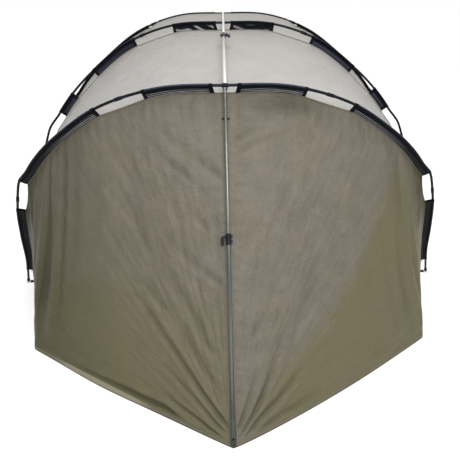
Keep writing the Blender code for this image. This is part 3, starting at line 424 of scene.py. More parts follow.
# The same cloth on the roof, painted light warm grey to stand in for the top light and the sky it reflects,
# and a little smoother
paintedLitRoofLook = {"roughness": 0.45, "specular": 0.3, "sheen": 0.08, "sheenHex": "#e8e8e6", "threadMm": 3.0,
            "weave": 0.2, "crumple": 0.65, "crumpleMm": 77, "grainDepth": 0.004, "mottleMm": 200,
            "darkHex": "#b3b0ab", "lightHex": "#c2bfbb", "tintHex": "#a39f99"}
paintedLitRoofCloth = makeCloth("coated polyester roof painted lit", paintedLitRoofLook)
# Hem cloth, the fly turned over twice and stitched down: a shade darker, with closer and shallower creases;
# its pale tint is a painted highlight where it flares up to the light, and its dark colour painted shade on
# the roll at the ground
hemLook = dict(flyLook, crumple=0.4, crumpleMm=38.5, darkHex="#706a56", lightHex="#7e7763",
               tintHex="#a8a18c", paintedShadeAndHighlightHex="#2f2d24")
hemCloth = makeCloth("folded polyester hem", hemLook)
# Seam piping, polyester tape round a filler cord: brown khaki, with the ribs of its thread
pipingLook = {"roughness": 0.6, "specular": 0.3, "sheen": 0.05, "sheenHex": "#e8e4da", "threadMm": 2.0,
              "weave": 0.5, "crumple": 0.2, "crumpleMm": 25, "mottleMm": 50, "darkHex": "#6a6252",
              "lightHex": "#7a725f"}
pipingCloth = makeCloth("piped polyester seam", pipingLook)
# Oxford nylon, woven: blue black, with painted highlights on its pleats and a painted bluish highlight where
# it runs over the pole
sleeveLook = {"roughness": 0.42, "specular": 0.07, "sheen": 0.0, "sheenHex": "#7f8cae", "threadMm": 2.4,
              "weave": 0.5, "crumple": 0.3, "crumpleMm": 29.4, "mottleMm": 71.4, "darkHex": "#05060a",
              "lightHex": "#0e1018", "tintHex": "#b4b3b6", "paintedShadeAndHighlightHex": "#465064"}
sleeveCloth = makeCloth("oxford nylon sleeve", sleeveLook)
# The same cloth where it lies smooth, with a painted reflection of the blue sky
paintedSkySleeveLook = dict(sleeveLook, tintHex="#767c92", lightHex="#0e1019")
paintedSkySleeveCloth = makeCloth("oxford nylon painted sky", paintedSkySleeveLook)
# Woven polypropylene webbing: coarse ribs across a dull black tape
webLook = {"roughness": 0.7, "specular": 0.3, "sheen": 0.08, "sheenHex": "#c8c8c8", "threadMm": 2.0,
           "weave": 0.9, "crumple": 0.1, "crumpleMm": 25, "mottleMm": 33.3, "darkHex": "#1c1c1b",
           "lightHex": "#282827"}
webbing = makeCloth("woven polypropylene webbing", webLook)
# The same webbing in dark khaki grey, on the rear tip
patchWebbing = makeCloth("khaki grey webbing", dict(webLook, darkHex="#505146", lightHex="#5e5f53"))
# Zip tape, herringbone woven polyester: dull dark olive with finer ribs
zipLook = dict(webLook, threadMm=1.6, darkHex="#34352c", lightHex="#424339", roughness=0.65)
zipTape = makeCloth("herringbone zip tape", zipLook)
# Heavy coated sheet: smooth, faintly creased, near black green
sheetLook = {"roughness": 0.55, "specular": 0.4, "sheen": 0.03, "sheenHex": "#ffffff", "threadMm": 4.0,
             "weave": 0.4, "crumple": 0.5, "crumpleMm": 200, "mottleMm": 333, "darkHex": "#2a2c28",
             "lightHex": "#343731"}
sheetCloth = makeCloth("coated groundsheet", sheetLook)
# Bonded nylon sewing thread: one shade darker than the cloth it holds
threadLook = {"roughness": 0.5, "specular": 0.4, "sheen": 0.1, "sheenHex": "#ffffff", "threadMm": 0.6,
              "weave": 0.6, "crumple": 0.0, "crumpleMm": 100, "mottleMm": 83, "darkHex": "#5f594b",
              "lightHex": "#6f685a"}
thread = makeCloth("bonded nylon thread", threadLook)


def makeMetal(name, colorHex, roughness, grainMm, streak):
    # drawn tube: fine marks and a little unevenness in the gloss
    material, tree, shader = newMaterial(name, Metallic=1.0, Roughness=roughness)
    place = addNode(tree, "ShaderNodeTexCoord").outputs["Object"]
    marks = addNode(tree, "ShaderNodeTexNoise",
                    {"Scale": cellsPerMetre(grainMm), "Detail": 4, "Roughness": 0.6},
                    {"Vector": place}).outputs["Fac"]
    shade = addNode(tree, "ShaderNodeMapRange", {"To Min": 1 - streak, "To Max": 1.0}, {"Value": marks})
    tone = mixColors(tree, 1.0, colorHex, shade.outputs[0], "MULTIPLY")
    tree.links.new(tone, shader.inputs["Base Color"])
    gloss = addNode(tree, "ShaderNodeMapRange", {"To Min": roughness * 0.8, "To Max": roughness * 1.25},
                    {"Value": marks})
    tree.links.new(gloss.outputs[0], shader.inputs["Roughness"])
    bump = addNode(tree, "ShaderNodeBump", {"Strength": 0.1, "Distance": 0.0003}, {"Height": marks})
    tree.links.new(bump.outputs[0], shader.inputs["Normal"])
    return material


# Anodised aluminium tube, dyed black: dark satin with a soft pale line along it
blackTube = makeMetal("black anodised aluminium", "#25272d", 0.42, 16.7, 0.3)
# Anodised aluminium tube, clear: bright satin silver
silverTube = makeMetal("clear anodised aluminium", "#e4e4e2", 0.3, 16.7, 0.1)
# Anodised aluminium tube, grey: satin mid grey, on the prop's upper pole
greyTube = makeMetal("grey anodised aluminium", "#83857f", 0.28, 16.7, 0.2)
# Anodised aluminium tube, dark: satin grey green, on the prop's outer pole
darkTube = makeMetal("dark anodised aluminium", "#676d69", 0.3, 16.7, 0.22)
# Nickel plated steel wire and die castings: pale warm grey with a tight highlight
platedSteel = makeMetal("nickel plated steel", "#b9b9b6", 0.28, 11.1, 0.15)


# the grain of a spark eroded mould, drawn coarser than the real one so that it shows
mouldLook = {"ior": 1.5, "specular": 0.12, "grainMm": 1.111, "wearMm": 22.2}


def makePlastic(name, colorHex, roughness, edgeWearAndHighlightHex):
    # injection moulded, with the mould's fine grain, and edges paler both from wear and as a painted
    # highlight
    material, tree, shader = newMaterial(name, Roughness=roughness, IOR=mouldLook["ior"],
                                         Specular_IOR_Level=mouldLook["specular"])
    place = addNode(tree, "ShaderNodeTexCoord").outputs["Object"]
    grain = addNode(tree, "ShaderNodeTexNoise", {"Scale": cellsPerMetre(mouldLook["grainMm"]), "Detail": 2},
                    {"Vector": place})
    wear = addNode(tree, "ShaderNodeTexNoise", {"Scale": cellsPerMetre(mouldLook["wearMm"]), "Detail": 3},
                   {"Vector": place})
    edges = addNode(tree, "ShaderNodeNewGeometry").outputs["Pointiness"]
    # sharp edges take the pale colour, as wear and as a painted highlight
    sharp = addNode(tree, "ShaderNodeMapRange", {"From Min": 0.52, "From Max": 0.6, "To Max": 0.6},
                    {"Value": edges})
    shade = addNode(tree, "ShaderNodeMapRange", {"To Min": 0.75, "To Max": 1.2},
                    {"Value": wear.outputs["Fac"]})
    tone = mixColors(tree, 1.0, colorHex, shade.outputs[0], "MULTIPLY")
    tree.links.new(mixColors(tree, sharp.outputs[0], tone, edgeWearAndHighlightHex), shader.inputs["Base Color"])
    bump = addNode(tree, "ShaderNodeBump", {"Strength": 0.15, "Distance": 0.0002},
                   {"Height": grain.outputs["Fac"]})
    tree.links.new(bump.outputs[0], shader.inputs["Normal"])
    return material


# Glass filled nylon, moulded: near black with a soft highlight
nylon = makePlastic("moulded black nylon", "#0a0a0d", 0.24, "#26262b")
# The same nylon polished in the mould, dark grey, on the clamp collars
collarNylon = makePlastic("polished dark nylon", "#0e0f14", 0.16, "#34343c")
# Moulded rubber: dull dark grey green, on the prop's foot
footRubber = makePlastic("moulded grey rubber", "#3f4440", 0.6, "#4d524e")


# a thin film bends the light far less than a solid block, so its IOR is set low
filmLook = {"roughness": 0.14, "ior": 1.15, "clear": 0.8, "rippleMm": 143, "rippleDepth": 0.004,
            "darkHex": "#c9d0cf", "lightHex": "#dfe4e2"}


def makeFilm():
    # clear flexible PVC: see through, slightly grey, with slow ripples
    material, tree, shader = newMaterial("clear flexible vinyl", Roughness=filmLook["roughness"],
                                         IOR=filmLook["ior"], Transmission_Weight=filmLook["clear"])
    place = addNode(tree, "ShaderNodeTexCoord").outputs["Object"]
    ripple = addNode(tree, "ShaderNodeTexNoise", {"Scale": cellsPerMetre(filmLook["rippleMm"]), "Detail": 2},
                     {"Vector": place}).outputs["Fac"]
    bump = addNode(tree, "ShaderNodeBump", {"Strength": 0.2, "Distance": filmLook["rippleDepth"]},
                   {"Height": ripple})
    tone = mixColors(tree, ripple, filmLook["darkHex"], filmLook["lightHex"])
    tree.links.new(tone, shader.inputs["Base Color"])
    tree.links.new(bump.outputs[0], shader.inputs["Normal"])
    return material


clearFilm = makeFilm()
print("materials made")


# Sewing

# coarser than real stitches, so that they show
stitchLook = {"pitch": 0.009, "length": 0.0055, "width": 0.0011, "height": 0.0006, "lookAhead": 0.002}


def stitchRow(name, path, normals, body="tent"):
    # one mesh of small pointed stitches lying on a path
    path = np.asarray(path, float)
    normals = np.broadcast_to(np.asarray(normals, float), path.shape)
    reach = reachAlong(path)
    pitch = stitchLook["pitch"]
    at = np.arange(pitch, reach[-1] - pitch, pitch)
    centre = pointsAt(at, reach, path)
    ahead = unitRows(pointsAt(at + stitchLook["lookAhead"], reach, path) - centre)
    normal = unitRows(pointsAt(at, reach, normals))
    side = np.cross(ahead, normal)
    corners = np.stack((centre - ahead * stitchLook["length"] / 2, centre + side * stitchLook["width"] / 2,
                        centre + normal * stitchLook["height"], centre - side * stitchLook["width"] / 2,
                        centre - normal * stitchLook["height"], centre + ahead * stitchLook["length"] / 2), 1)
    faces = []
    for k in range(len(at)):
        first = 6 * k
        for i in range(4):
            j = (i + 1) % 4
            faces.append((first, first + 1 + j, first + 1 + i))
            faces.append((first + 5, first + 1 + i, first + 1 + j))
    mesh = bpy.data.meshes.new(name)
    mesh.from_pydata(corners.reshape(-1, 3).tolist(), [], faces)
    mesh.uv_layers.new(name="cloth")
    mesh.shade_smooth()
    addPiece(name, mesh, thread, body)


# Hoop poles

# lengths from a joint or from the pole's end, and the cap's radii
poleLook = {"ferruleHalf": 0.022, "ferruleRadius": 0.0104, "lip": 0.001, "sectionFrom": 0.0225, "step": 0.012,
            "legStop": 0.012, "capFrom": 0.04, "capRim": 0.0395, "capFlare": 0.034, "capBore": 0.0085,
            "capRadius": 0.0095, "ballRadius": 0.011, "capLift": 0.004, "tipRadius": 0.0002}


def poleSection(hoopName, place, start, end, ferruleAt=()):
    lengths = list(stationsBetween(start, end, poleLook["step"]))
    half = poleLook["ferruleHalf"]
    lip = poleLook["lip"]
    for at in ferruleAt:
        # a swaged sleeve with a rounded lip at each end
        lengths += [at - half - lip, at - half, at - half + lip]
        lengths += [at + half - lip, at + half, at + half + 0.0006]
    lengths = np.array(sorted(set(lengths)))
    radius = hoopShape["poleRadius"]
    radii = np.full(len(lengths), radius)
    for at in ferruleAt:
        grown = within((half + 0.0004 - np.abs(lengths - at)) / 0.0012)
        radii = np.maximum(radii, radius + (poleLook["ferruleRadius"] - radius) * grown)
    places, outward, sideways = hoopStations(hoopName, lengths)
    name = hoopName + "_pole_" + place
    mesh = tubeMesh(name, places, sideways, outward, radii)
    addPiece(name, mesh, blackTube, "tent", [hoopName + "_hoop_" + place])


def footCap(hoopName, side, word):
    # moulded end: a collar on the pole that ends in a ball on the ground
    end = hoopLength
    ball = poleLook["ballRadius"]
    profile = [(end - poleLook["capFrom"], poleLook["capBore"]),
               (end - poleLook["capRim"], poleLook["capRadius"]),
               (end - poleLook["capFlare"], ball), (end - ball, ball)]
    for angle in np.linspace(0, math.pi / 2, 8)[1:]:
        radius = max(ball * math.cos(angle), poleLook["tipRadius"])
        profile.append((end - ball + ball * math.sin(angle), radius))
    lengths = np.array([length for length, radius in profile])
    places, outward, sideways = hoopStations(hoopName, side * lengths)
    places = places + np.array((0, 0, poleLook["capLift"]))
    name = hoopName + "_foot_cap_" + word
    mesh = tubeMesh(name, places, sideways, outward, [radius for length, radius in profile])
    addPiece(name, mesh, nylon, "tent")


for hoopName in hoops:
    crown = hoopShape["crownJoint"] * hoopLength
    leg = hoopShape["legJoint"] * hoopLength
    beyond = poleLook["sectionFrom"]
    poleSection(hoopName, "crown", -crown, crown, (-crown, crown))
    poleSection(hoopName, "left_shoulder", -leg, -crown - beyond, (-leg,))
    poleSection(hoopName, "right_shoulder", crown + beyond, leg, (leg,))
    poleSection(hoopName, "left_leg", -hoopLength + poleLook["legStop"], -leg - beyond)
    poleSection(hoopName, "right_leg", leg + beyond, hoopLength - poleLook["legStop"])
    for side, word in bothSides:
        footCap(hoopName, side, word)
print("hoops made")


# Pole sleeves and seam piping

sleeveShape = {"channelRadius": 0.0093, "channelArc": 152, "rootHalfGap": 0.0013, "rootShare": 0.885,
               "tuckShare": 0.47, "step": 0.009, "thickness": 0.0009, "bandWidth": 0.02, "bandEdge": 0.0015,
               "bandSwell": 0.0009, "calmWidth": 0.05, "bulge": 0.0032, "bulgeSpread": 0.002,
               "slantLength": 0.07, "slantEnd": 0.012, "paintedSkyPale": 0.16}
pipingShape = {"radius": 0.0034, "twist": 310, "twistDepth": 0.08, "step": 0.014, "aboveHem": 0.006}
# pleats run along the rear hoop's sleeves, and slant across the middle one's; their pale crests are painted
# highlights
sleeveFolds = {"rear": {"pleats": 4.0, "height": 0.0019, "slant": 0.0, "paintedHighlight": 1.2, "power": 3.4},
               "middle": {"pleats": 0.9, "height": 0.0034, "slant": -11.0, "paintedHighlight": 0.9, "power": 1.7},
               "front": {"pleats": 1.0, "height": 0.0005, "slant": 9.0, "paintedHighlight": 0.2, "power": 2.0}}


def sleeveLoop(hoopName, index, side, word, first, last):
    # a shell round the pole with two flanges down to the seam, a row of points for each place on the hoop
    depth = hoops[hoopName]["depth"]
    folds = sleeveFolds[hoopName]
    lengths = stationsBetween(first * hoopLength, last * hoopLength, sleeveShape["step"])
    band = sleeveShape["bandWidth"]
    bandEdge = sleeveShape["bandEdge"]
    lengths = np.array(sorted(set(list(lengths) + [lengths[0] + band, lengths[0] + band + bandEdge,
                                                   lengths[-1] - band, lengths[-1] - band - bandEdge])))
    places, outward, sideways = hoopStations(hoopName, side * lengths)
    radius = sleeveShape["channelRadius"]
    arc = np.radians(np.linspace(sleeveShape["channelArc"], -sleeveShape["channelArc"], 23))
    inward = -radius * np.cos(arc)
    over = radius * np.sin(arc)
    flange = np.linspace(0, 1, 25)[1:]
    start = radius * sleeveShape["rootShare"]
    flatIn = start + (depth + 0.001 - start) * flange
    tuck = radius * sleeveShape["tuckShare"] * np.exp(-flange * 9) + sleeveShape["rootHalfGap"]
    points = np.zeros((len(lengths), len(arc) + 2 * len(flange), 3))
    paintedPleatHighlights = np.zeros(points.shape[:2])
    paintedPoleHighlight = np.zeros(points.shape[:2])
    middle = slice(len(flange), len(flange) + len(arc))
    for row, length in enumerate(lengths):
        drift = noise.noise(Vector((length * 3.1, index * 5.0 + side, depth * 90)))
        lift = noise.noise(Vector((length * 7.7, index * 3.0 - side, 4.2)))
        edge = min(length - lengths[0], lengths[-1] - length)
        inBand = edge < band + bandEdge / 2
        swell = sleeveShape["bandSwell"] if inBand else 0.0
        slant = folds["slant"] if index == 1 else 0.0
        turn = flange * folds["pleats"] + drift * 0.8 + side * length * slant * (0.8 + 0.4 * lift)
        wave = np.sin(turn * math.tau)
        calm = np.clip(edge / sleeveShape["calmWidth"], 0.1, 1) * np.sin(np.pi * flange) ** 0.5
        bulge = (sleeveShape["bulge"] + sleeveShape["bulgeSpread"] * lift) * np.sin(np.pi * flange)
        rear = tuck + bulge + folds["height"] * wave * calm
        front = tuck + bulge * 0.8 + folds["height"] * np.cos(turn * math.tau) * calm * 0.5
        a = np.concatenate((flatIn[::-1], inward, flatIn))
        b = np.concatenate((rear[::-1], over, -front))
        a[middle] *= 1 + swell / radius
        b = np.where(b > 0, b + swell, b - swell)
        points[row] = places[row] - outward[row] * a[:, None] + sideways[row] * b[:, None]
        if not inBand:
            # painted highlights on the pleats' crests, only on the flange that faces the rear
            paintedHighlight = within(wave) ** folds["power"] * folds["paintedHighlight"] * (1 + 0.5 * drift)
            if hoopName == "middle" and index > 1:
                # the side sleeves are pulled smooth and only catch the sky: an even pale tone there is a
                # painted reflection of the sky
                paintedHighlight = sleeveShape["paintedSkyPale"] + 0.06 * wave
            elif index > 1:
                # the pleats lie open near the crown and close towards the elbow, and their painted highlights
                # fade with them
                run = (length - lengths[0]) / (lengths[-1] - lengths[0])
                paintedHighlight = paintedHighlight * (np.clip(1.25 - 1.7 * run, 0.14, 1) if index == 2 else 0.14)
            paintedPleatHighlights[row, :len(flange)] = (paintedHighlight * within((flange - 0.2) / 0.2) * (flange < 0.97))[::-1]
            # painted bluish highlight along the top of the channel over the pole
            paintedPoleHighlight[row, middle] = hump(arc, 0.2, 0.42)
        if index == 1:
            # the crown end is cut on the slant
            lead = within(1 - (length - lengths[0]) / sleeveShape["slantLength"]) * sleeveShape["slantEnd"]
            along = np.cross(outward[row], sideways[row])
            along *= np.sign(along[0]) * -side
            shift = np.concatenate((flange[::-1], np.zeros(len(arc)), flange)) * lead
            points[row] += along * shift[:, None]
    name = "%s_sleeve_%d_%s" % (hoopName, index, word)
    mesh = gridMesh(name, points, tint=paintedPleatHighlights, shade=paintedPoleHighlight)
    cloth = paintedSkySleeveCloth if hoopName == "middle" and index > 1 else sleeveCloth
    piece = addPiece(name, mesh, cloth, "tent", [hoopName + "_hoop_sleeves"],
                     sleeveShape["thickness"])
    declareCloth(points)


def pipingCord(hoopName):
    # the seam where the sleeve, the fly panels and a filler cord are sewn together
    stop = lengthAtHeight(hoopName, hoops[hoopName]["depth"], hem["height"] + pipingShape["aboveHem"])
    lengths = stationsBetween(-stop, stop, pipingShape["step"])
    places, outward, sideways = hoopStations(hoopName, lengths, seamInset(hoopName, lengths))
    wobble = 1 + pipingShape["twistDepth"] * np.sin(lengths * pipingShape["twist"])
    name = hoopName + "_piping"
    mesh = tubeMesh(name, places, sideways, outward, pipingShape["radius"] * wobble, sides=10)
    addPiece(name, mesh, pipingCloth, "tent", [hoopName + "_hoop_sleeves"])


for hoopName in hoops:
    for index, (first, last) in enumerate(hoops[hoopName]["sleeves"]):
        for side, word in bothSides:
            sleeveLoop(hoopName, index + 1, side, word, first, last)
    pipingCord(hoopName)
print("sleeves made")


# Rear wall

wallShape = {"columns": 290, "rows": 220, "sag": 0.02, "thickness": 0.001, "cornerShare": 0.55,
             "seamHalfGap": 0.0006, "footHeight": 0.03, "bulge": {-1: 0.014, 1: 0.034}, "stitchLift": 0.0008,
             "stitchRows": (0.008, 0.014), "cornerAt": 0.56, "cornerWidth": 0.1, "cornerCount": 44,
             "cornerLean": 0.1}
# depths in metres of the wall's folds, from those at the corner and the seams to the finest crumple
foldDepths = {"corner": 0.011, "seam": 0.0034, "swag": 0.006, "sleeve": 0.0026, "slack": 0.002,
              "fan": 0.0065, "fanFine": 0.0032, "slow": 0.005, "uneven": 0.0022, "fine": 0.0009}
# a crease widens along its line and has a ridge on each side; sizes in the crease's own widths
creaseLook = {"startWidth": 1.15, "growth": 1.5, "steep": 1.8, "ridge": 0.5, "ridgeAt": 1.9,
              "ridgeWidth": 0.8, "strength": 1.35, "startStrength": 0.2, "rise": 6}
# folds in the plane of a half wall, each line in metres up the seam from the rear tip and across from it,
# then the fold's depth and width
leftFolds = (
    (((0.05, 0.015), (0.09, 0.03), (0.17, 0.10), (0.26, 0.18), (0.37, 0.26), (0.60, 0.42), (0.82, 0.57)),
     0.014, 0.010),
    (((0.05, 0.03), (0.11, 0.11), (0.20, 0.20), (0.30, 0.31), (0.42, 0.43)), 0.010, 0.008),
    (((0.02, 0.05), (0.07, 0.14), (0.13, 0.24), (0.18, 0.34), (0.25, 0.45)), 0.014, 0.0055),
    (((0.02, 0.12), (0.06, 0.27), (0.15, 0.44), (0.19, 0.61), (0.27, 0.91), (0.36, 1.20)), 0.020, 0.013),
    (((0.29, 0.09), (0.41, 0.17), (0.55, 0.25), (0.68, 0.32)), 0.008, 0.014),
    (((0.45, 0.07), (0.53, 0.14), (0.70, 0.22), (0.87, 0.31), (1.01, 0.40), (1.15, 0.49)), 0.007, 0.016),
    (((0.84, 0.02), (0.94, 0.15), (1.03, 0.24), (1.14, 0.36)), 0.006, 0.015),
    (((1.41, 0.01), (1.52, 0.13), (1.63, 0.26), (1.74, 0.36)), 0.006, 0.014),
    (((1.41, 0.17), (1.53, 0.30), (1.69, 0.42)), 0.005, 0.013),
    (((0.70, 0.37), (0.81, 0.45), (0.90, 0.52)), 0.005, 0.014),
    (((1.14, 0.10), (1.22, 0.16), (1.30, 0.21)), 0.005, 0.012),
    (((1.04, 0.46), (1.21, 0.52), (1.38, 0.59)), 0.005, 0.018),
)
rightFolds = (
    (((0.03, 0.03), (0.10, 0.09), (0.16, 0.13), (0.23, 0.17), (0.34, 0.22), (0.46, 0.28)), 0.014, 0.009),
    (((0.05, 0.015), (0.12, 0.05), (0.19, 0.08), (0.27, 0.11), (0.38, 0.15)), 0.010, 0.008),
    (((0.02, 0.06), (0.10, 0.14), (0.20, 0.27), (0.31, 0.38), (0.37, 0.43)), 0.014, 0.010),
    (((0.04, 0.14), (0.12, 0.30), (0.16, 0.44), (0.21, 0.57)), 0.010, 0.014),
    (((0.36, 0.19), (0.50, 0.28), (0.64, 0.34), (0.80, 0.40)), 0.005, 0.016),
    (((0.45, 0.33), (0.64, 0.40), (0.82, 0.46), (1.02, 0.54)), 0.005, 0.018),
    (((0.55, 0.12), (0.70, 0.19), (0.83, 0.26)), 0.004, 0.014),
    (((1.82, 0.04), (1.79, 0.15), (1.81, 0.26), (1.82, 0.36)), 0.005, 0.007),
    (((1.75, 0.04), (1.73, 0.12), (1.74, 0.23)), 0.005, 0.008),
    (((1.62, 0.03), (1.67, 0.12), (1.71, 0.23)), 0.005, 0.009),
    (((1.54, 0.03), (1.60, 0.13), (1.65, 0.26), (1.69, 0.41)), 0.005, 0.011),
    (((1.82, 0.07), (1.85, 0.23), (1.86, 0.42)), 0.004, 0.008),
    (((1.38, 0.03), (1.38, 0.11)), 0.004, 0.008),
    (((1.11, 0.21), (1.28, 0.28), (1.45, 0.35)), 0.004, 0.014),
)
# the upper edge of the more olive cloth on the right half wall
oliveEdge = ((0.0, 0.0), (0.15, 0.18), (0.33, 0.45), (0.48, 0.63), (0.70, 0.79), (0.94, 0.90), (1.30, 1.02))


def groundLine(side, share, bulged=True):
    height = wallShape["footHeight"]
    tip = np.array((side * wallShape["seamHalfGap"], hem["tipY"], height))
    corner = np.array((side * hem["cornerX"], hem["cornerY"], height))
    stop = lengthAtHeight("rear", hoops["rear"]["depth"], height)
    foot = hoopStations("rear", [side * stop], hoops["rear"]["depth"])[0][0]
    share = np.asarray(share)[:, None]
    cut = wallShape["cornerShare"]
    firstPart = within(share / cut)
    line = tip + (corner - tip) * firstPart + (foot - corner) * within((share - cut) / (1 - cut))
    if bulged:
        out = np.array((side * (hem["cornerY"] - hem["tipY"]), -hem["cornerX"], 0))
        out /= np.linalg.norm(out)
        line = line + out * wallShape["bulge"][side] * np.sin(np.pi * firstPart ** 0.8) ** 0.9
    return line


def creaseHeight(up, across, folds):
    # a narrow valley with a soft ridge on each side along every fold line
    total = np.zeros_like(up)
    for line, depth, width in folds:
        nearest = np.full(up.shape, 9.0)
        reach = np.zeros_like(up)
        walked = 0.0
        whole = sum(math.dist(p, q) for p, q in zip(line, line[1:]))
        for p, q in zip(line, line[1:]):
            run = (q[0] - p[0], q[1] - p[1])
            size = math.hypot(*run)
            t = within(((up - p[0]) * run[0] + (across - p[1]) * run[1]) / size ** 2)
            away = np.hypot(up - p[0] - t * run[0], across - p[1] - t * run[1])
            closer = away < nearest
            nearest = np.where(closer, away, nearest)
            reach = np.where(closer, (walked + t * size) / whole, reach)
            walked += size
        x = nearest / (width * (creaseLook["startWidth"] + creaseLook["growth"] * reach))
        ridge = creaseLook["ridge"] * hump(x, creaseLook["ridgeAt"], creaseLook["ridgeWidth"])
        shape = -np.exp(-x ** creaseLook["steep"]) + ridge
        strong = within(creaseLook["startStrength"] + reach * creaseLook["rise"])
        strength = creaseLook["strength"] * strong * (1 - reach) ** 0.5
        total += depth * shape * strength
    return total


def rearWall(side, word):
    depth = hoops["rear"]["depth"]
    last = lengthAtHeight("rear", depth, wallShape["footHeight"] + 0.02)
    even = np.linspace(0, 1, wallShape["columns"])
    shares = 0.62 * even + 0.38 * even ** 2
    topLengths = np.maximum(shares * last, wallShape["seamHalfGap"])
    top = hoopStations("rear", side * topLengths, seamInset("rear", topLengths))[0]
    bottom = groundLine(side, shares)
    even = np.linspace(0, 1, wallShape["rows"])
    t = 0.5 * even + 0.5 * (1 - (1 - even) ** 1.7)
    base = top[None] + (bottom - top)[None] * t[:, None, None]
    normals = gridNormals(base)
    outwardGuess = base * (1, 1, 0) + np.array((0, 0, 0.9))
    normals *= np.sign((normals * outwardGuess).sum(axis=2, keepdims=True))
    s = shares[None, :] * np.ones((len(t), 1))
    r = t[:, None] * np.ones((1, len(shares)))
    tip = base[-1, 0]
    seam = base[0, 0] - tip
    seam /= np.linalg.norm(seam)
    corner = np.array((side * hem["cornerX"], hem["cornerY"], wallShape["footHeight"])) - tip
    acrossAxis = corner - seam * (corner @ seam)
    acrossAxis /= np.linalg.norm(acrossAxis)
    up = (base - tip) @ seam
    across = (base - tip) @ acrossAxis
    # the panel is held at its four edges
    held = within(s / 0.02) * within((1 - s) / 0.04) * within(r / 0.03) * within((1 - r) / 0.02)
    offset = -wallShape["sag"] * np.sin(np.pi * r) * np.sin(np.pi * s)
    folds = leftFolds if side < 0 else rightFolds
    creases = creaseHeight(up, across, folds) * within(across / 0.02) * within((1 - r) / 0.012)
    offset = offset + creases
    # soft upright folds where the cloth turns the corner
    lean = s + wallShape["cornerLean"] * (1 - r)
    strip = hump(lean, wallShape["cornerAt"], wallShape["cornerWidth"])
    strip = strip * within((1 - r) / 0.3) * within(r / 0.08)
    uprightAt = np.stack((lean * wallShape["cornerCount"], r * 1.3, np.full(s.shape, side * 3.0)), -1)
    upright = np.clip(2.4 * noiseAt(uprightAt, 1.15, 3), -1.2, 1.2)
    offset = offset + foldDepths["corner"] * strip * upright
    # short gathers along the centre seam and below the pole sleeves
    seamPull = np.exp(-across / 0.06) * within(up / 0.3)
    gather = np.sin(up * 105 + across * 38 + 2.5 * noiseAt(base, 0.11, 5))
    offset = offset + foldDepths["seam"] * seamPull * gather
    topPull = np.exp(-r / 0.05)
    if side > 0:
        # the slack under the right crown sleeve hangs in three long swags
        swag = np.exp(-((s - 0.12) / 0.07) ** 2 - ((r - 0.035) / 0.03) ** 2)
        offset = offset + foldDepths["swag"] * swag * np.sin(r * 330 + s * 26)
    offset = offset + foldDepths["sleeve"] * topPull * np.sin(s * last * 88 + 3 * noiseAt(base, 0.13, 7))
    # slack runs in long slanting waves from the rear tip towards the hoop
    slant = up * 26 - across * 30
    slack = np.sin(slant + 3 * noiseAt(base, 0.35, 9))
    offset = offset + foldDepths["slack"] * slack * held * (0.6 + 0.4 * noiseAt(base, 0.6, 4))
    # fine creases that all run to the rear tip
    far = np.hypot(up, across)
    fan = np.stack((np.arctan2(across, up + 0.02) * 14, far * 1.6, np.full(far.shape, side * 9.0)), -1)
    fanHeld = held * within(far / 0.3) * np.clip((0.6 - lean) / 0.12, 0.08, 1)
    longFan = foldDepths["fan"] * noiseAt(fan, 0.42, 14)
    offset = offset + (longFan + foldDepths["fanFine"] * noiseAt(fan * (1, 2, 1), 0.2, 15)) * fanHeld
    offset = offset + foldDepths["slow"] * noiseAt(base, 0.42, 1) * held
    offset = offset + foldDepths["uneven"] * noiseAt(base, 0.13, 2) * held
    offset = offset + foldDepths["fine"] * noiseAt(base, 0.045, 6) * held
    points = base + normals * (offset * within(held * 1.6))[..., None]
    edge = np.interp(across, [p[1] for p in oliveEdge], [p[0] for p in oliveEdge])
    if side > 0:
        tint = within((edge + 0.15 - up) / 0.22 + 0.5) * 0.9 * within(across / 0.35)
    else:
        tint = 0.75 * within((0.9 - up) / 0.9) ** 0.7
        tint = tint + 0.7 * within(across / 0.9) ** 1.5 * np.clip(1.7 - up, 0.3, 1)
    tint = tint + 0.12 * noiseAt(base, 0.25, 12)
    # painted shade in the valleys of the creases
    shade = within(-creases / 0.014) ** 1.1 * 0.5
    # painted shade: the cloth is darker where it turns from the light, towards the hoop's legs, its outer
    # edge and under its shoulder, with a painted shadow under the pole sleeves and painted shade in the
    # upright folds' valleys
    paintedShade = within((s - 0.27) / 0.36) * (0.62 + 0.28 * r) if side < 0 else 0.0
    paintedShade = paintedShade + (0.5 if side > 0 else 0.3) * np.exp(-((1 - s) / 0.3) ** 2) * within(1.15 - r)
    paintedShade = paintedShade + 0.3 * np.exp(-r / 0.03) * (s < 0.6) + 0.34 * strip * within(-upright)
    paintedShade = paintedShade + 0.5 * within((s - 0.66) / 0.06)
    paintedShade = paintedShade + 0.75 * hump(s, 0.62, 0.06) * within(1 - r / 0.5)
    # painted shadow under the right crown sleeve, and painted shade where the right half turns its corner
    if side > 0:
        paintedShade = paintedShade + 0.55 * np.exp(-((s - 0.13) / 0.07) ** 2 - ((r - 0.03) / 0.035) ** 2)
        paintedShade = paintedShade + 0.42 * hump(s, 0.58, 0.07) * within(1 - r / 0.6)
    shade = np.maximum(shade, paintedShade * (1 + 0.25 * noiseAt(base, 0.3, 18)))
    mesh = gridMesh("rear_fly_" + word, points, tint=tint, shade=shade)
    piece = addPiece("rear_fly_" + word, mesh, flyCloth, "tent", ["rear_wall_" + word],
                     wallShape["thickness"])
    declareCloth(base)
    # two rows of stitches beside the centre seam
    for distance in wallShape["stitchRows"]:
        column = int(np.searchsorted(shares * last, distance))
        line, lifted = points[4:-4, column], normals[4:-4, column]
        stitchRow("rear_seam_stitches_%s_%d" % (word, round(distance * 1000)),
                  line + lifted * wallShape["stitchLift"], lifted)
    return base, normals


walls = {}
for side, word in bothSides:
    walls[side] = rearWall(side, word)
print("rear wall made")


# Roof and side bays

